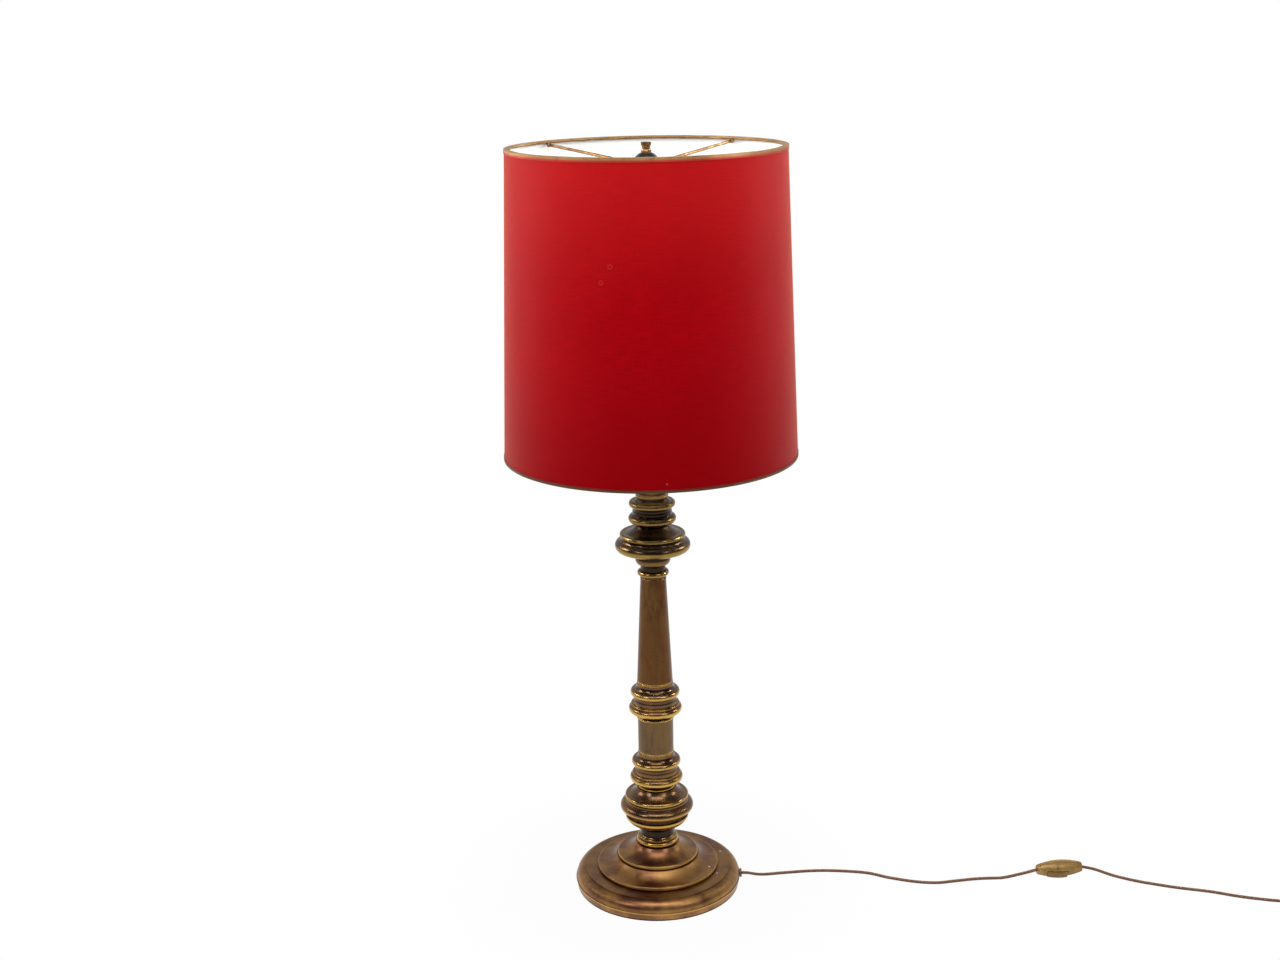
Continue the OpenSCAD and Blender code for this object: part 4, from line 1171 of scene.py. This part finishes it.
@dataclass
class Column:
    """Turned pieces stacked on the centre tube, with painted shadow of the shade darkening those under it."""

    lower: tuple[Turning, ...] = (
        Turning("neck", ((0.5, 7.0, 1.0), (9.8, 12.8, 0.5)), ((13.5, 29.0, 0.88),)),
        Turning("knop", ((6.5, 13.5, 0.9), (19.8, 27.0, 0.75)), ((-1.0, 4.5, 0.7), (14.0, 19.4, 0.85))),
        Turning("knop_dish", ((0.3, 7.0, 0.75),), ((10.0, 40.0, 0.22),)),
        Turning("lower_collar", COLLAR_WEAR_AND_REFLECTION, COLLAR_SHADE_AND_DIRT),
        Turning("upper_collar", COLLAR_WEAR_AND_REFLECTION, COLLAR_SHADE_AND_DIRT),
        Turning("top_neck", ((0.0, 3.6, 0.7), (8.0, 33.0, 0.85)), ((5.0, 8.0, 0.5),)),
    )
    upper: tuple[Turning, ...] = (
        Turning("necking", ((2.0, 9.0, 0.75), (17.5, 25.5, 0.3)), ((10.5, 16.5, 0.7), (26.5, 33.0, 0.85))),
        Turning("pan_ring", ((5.5, 14.5, 0.8),), ((-1.0, 4.8, 0.8),)),
        Turning("pan_dish", ((0.3, 6.6, 0.75),), ((9.0, 17.0, 0.45),)),
        Turning("top_collar", ((3.5, 11.5, 0.6), (25.5, 33.3, 0.6)), ((-1.0, 2.6, 0.7), (14.0, 25.0, 0.7))),
    )
    lower_brass: TurnedBrass = TurnedBrass("lower_brass")
    # Darker copy of the brass for the pieces under the shade: painted shadow of the shade.
    shade_shadowed_brass: TurnedBrass = TurnedBrass(
        "shade_shadowed_brass", patina=(0.062, 0.038, 0.023), flush=(0.102, 0.058, 0.026),
        wear_and_reflection_gold=(0.38, 0.238, 0.056), lacquer=0.04)
    tube_foot: tuple[Band, ...] = ((-1.0, 4.0, 0.65),)

    def dress(self) -> None:
        """Dresses the column's nodes."""
        for brass, turnings in ((self.lower_brass, self.lower), (self.shade_shadowed_brass, self.upper)):
            for piece in turnings:
                dress([piece.node], replace(brass, name=f"{piece.node}_brass", foot=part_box(piece.node)[0].z,
                                            bright=piece.bright, dark=piece.dark))
        dress(["sleeve"], BrownedBrass(
            "sleeve_brass", patina=(0.115, 0.066, 0.040), flush=(0.160, 0.096, 0.044),
            pale=(0.200, 0.118, 0.044), gloss=(0.32, 0.46), foot=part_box("sleeve")[0].z,
            bright=self.tube_foot))
        dress(["shaft"], BrownedBrass(
            "shaft_brass", patina=(0.100, 0.036, 0.013), flush=(0.142, 0.058, 0.019),
            pale=(0.185, 0.100, 0.029), gloss=(0.30, 0.42), lacquer=0.06, foot=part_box("shaft")[0].z,
            bright=self.tube_foot, pale_from=70.0))
        dress(["centre_tube"], RawMetal(
            "plated_steel", tone=(0.42, 0.42, 0.41), shade=(0.28, 0.27, 0.25), gloss=(0.30, 0.5),
            grain=0.6 * MM, relief=0.03 * MM))


@dataclass
class LampFitting:
    """Wiring box, arms and lampholders inside the shade, with the threads of the lamp sockets."""

    thread_pitch: float = 3.6 * MM
    thread_r: float = 0.9 * MM
    thread_sides: int = 8
    thread_turns: float = 6.0
    turn_steps: int = 36
    thread_from: float = 3 * MM
    shell_t: float = 0.8 * MM

    def dress(self) -> None:
        """Dresses the fitting's nodes."""
        dress(["hex_nuts", "wiring_box", "box_lid", "lamp_arm_left", "lamp_arm_right", "shade_rod",
               "shade_seat", "screw_shell_left", "screw_shell_right", "centre_contacts"],
              FittingBrass("fitting_brass"))
        dress(["holder_cap_left", "holder_cap_right", "holder_shell_left", "holder_shell_right"], Moulded(
            "cream_plastic", tone=(0.70, 0.66, 0.54), shade=(0.60, 0.55, 0.42), gloss=(0.22, 0.34)))
        dress(["holder_insert_left", "holder_insert_right"], Moulded(
            "porcelain", tone=(0.84, 0.83, 0.79), shade=(0.76, 0.74, 0.68), gloss=(0.10, 0.20), coat=0.4))
        dress(["inner_flex", "lamp_leads"], Moulded(
            "lead_plastic", tone=(0.20, 0.09, 0.045), shade=(0.13, 0.06, 0.03)))

    def build(self) -> None:
        """Winds the thread into each lamp socket."""
        ring = [(self.thread_r * math.cos(a), self.thread_r * math.sin(a))
                for a in (FULL_TURN * k / self.thread_sides for k in range(self.thread_sides))]
        count = round(self.thread_turns * self.turn_steps)
        for side in ("left", "right"):
            low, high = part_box(f"screw_shell_{side}")
            middle, bore = (low + high) / 2, (high.x - low.x) / 2 - self.shell_t
            path: list[Vector] = []
            for k in range(count + 1):
                turns = k / self.turn_steps
                angle = FULL_TURN * turns
                path.append(Vector((middle.x + bore * math.cos(angle), middle.y + bore * math.sin(angle),
                                    low.z + self.thread_from + self.thread_pitch * turns)))
            new_piece(f"socket_thread_{side}", *swept(path, ring), FittingBrass("thread_brass"),
                      Body.LAMP, Slot.FITTING)


@dataclass
class Shade:
    """Drum shade with its lining, edging, wires and spider, the dome under it and the finial on top."""

    seam_w: float = 9.0 * MM
    seam_t: float = 0.3 * MM
    seam_tuck: float = 0.1 * MM
    seam_rows: int = 40
    seam_columns: int = 4
    edging_h: float = 5.5 * MM
    head_r: float = 176 * MM
    top_worn: Span = (3.6 * MM, 1.4 * MM)
    bottom_worn: Span = (2.4 * MM, 0.3 * MM)
    blisters: tuple[Point, ...] = ((-56.3, -172.2, 868.3), (-45.3, -174.6, 887.1))
    flecks: tuple[Point, ...] = ((17.0, -189.4, 628.5),)

    def dress(self) -> None:
        """Dresses the shade's nodes."""
        low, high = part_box("shade_cloth")
        # The cloth's painted light and shade by height run from its foot to its head.
        dress(["shade_cloth"], RedCloth("red_cloth", foot=low.z, head=high.z, blisters=self.blisters,
                                        flecks=self.flecks))
        dress(["shade_lining"], Sheeting(
            "white_lining", tone=(0.95, 0.95, 0.94), shade=(0.92, 0.92, 0.905), fibre=2.0 * MM,
            rough=0.45, relief=0.01 * MM))
        top_foot, bottom_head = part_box("top_edging")[0].z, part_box("bottom_edging")[1].z
        dress(["top_edging"], GiltTape(
            "top_gilt", red=(0.46, 0.022, 0.012), worn_from=top_foot + self.top_worn[0],
            worn_to=top_foot + self.top_worn[1]))
        dress(["bottom_edging"], GiltTape(
            "bottom_gilt", gold=(0.165, 0.090, 0.028), dark=(0.090, 0.046, 0.016), red=(0.20, 0.012, 0.008),
            worn_from=bottom_head - self.bottom_worn[0], worn_to=bottom_head - self.bottom_worn[1]))
        dress(["top_wire", "bottom_wire", "spider_arms", "spider_hub"], FittingBrass(
            "spider_brass", bright=(0.36, 0.19, 0.075), dull=(0.21, 0.105, 0.045)))
        dress(["dome_cap"], TurnedBrass(
            "dome_brass", patina=(0.135, 0.118, 0.135), flush=(0.180, 0.152, 0.160)))
        dress(["finial"], TurnedBrass(
            "finial_brass", patina=(0.16, 0.085, 0.032), flush=(0.24, 0.13, 0.05), cloud=6 * MM))

    def build(self) -> None:
        """Laps the cloth's seam down the back, its two long edges tucked into the cloth."""
        low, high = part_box("shade_cloth")
        foot, head = low.z + self.edging_h, high.z - self.edging_h
        foot_r = (high.x - low.x) / 2
        rows, columns = self.seam_rows, self.seam_columns
        points: list[Vector] = []
        for i in range(rows + 1):
            z = foot + (head - foot) * i / rows
            cloth_r = foot_r + (self.head_r - foot_r) * (z - low.z) / (high.z - low.z)
            half = self.seam_w / 2 / cloth_r
            for k in range(columns + 1):
                angle = math.pi / 2 - half + 2 * half * k / columns
                radius = cloth_r + (self.seam_t if 0 < k < columns else -self.seam_tuck)
                points.append(Vector((radius * math.cos(angle), radius * math.sin(angle), z)))
        wide = columns + 1
        faces = [[i * wide + k, i * wide + k + 1, (i + 1) * wide + k + 1, (i + 1) * wide + k]
                 for i in range(rows) for k in range(columns)]
        # The seam takes the cloth's colour with the same painted light and shade by height.
        new_piece("shade_seam", points, faces, RedCloth("seam_cloth", foot=low.z, head=high.z),
                  Body.SHADE, Slot.CLOTH)


@dataclass
class Switch:
    """In-line switch with its rocker, and the plug and the coil's tie further along the flex."""

    gold: Moulded = Moulded("gold_plastic", tone=(0.50, 0.305, 0.090), shade=(0.36, 0.205, 0.065),
                            gloss=(0.40, 0.50), metal=0.35, dirt_and_shade=0.0, skin=4 * MM)

    def dress(self) -> None:
        """Dresses the nodes of the switch, the plug and the coil's tie."""
        dress(["switch_front", "switch_back", "switch_screws"], self.gold)
        dress(["switch_rocker"], replace(
            self.gold, name="rocker_plastic", tone=(0.31, 0.185, 0.048), shade=(0.24, 0.14, 0.036)))
        dress(["rocker_pin", "plug_pins"], RawMetal(
            "pin_steel", tone=(0.52, 0.51, 0.49), shade=(0.40, 0.39, 0.37), gloss=(0.22, 0.38),
            grain=0.5 * MM, relief=0.02 * MM))
        dress(["plug_body"], Moulded("plug_plastic", tone=(0.165, 0.080, 0.040), shade=(0.125, 0.060, 0.030)))
        dress(["coil_tie"], Moulded("tie_plastic", tone=(0.020, 0.020, 0.021), shade=(0.014, 0.014, 0.015)))


def main() -> None:
    """Builds the studio, the flex and each sub-assembly in order."""
    logging.basicConfig(level=logging.INFO, format="%(message)s")
    Studio().build()
    Flex().build()
    Base().dress()
    Column().dress()
    fitting = LampFitting()
    fitting.dress()
    fitting.build()
    shade = Shade()
    shade.dress()
    shade.build()
    Switch().dress()


if __name__ == "__main__":
    main()
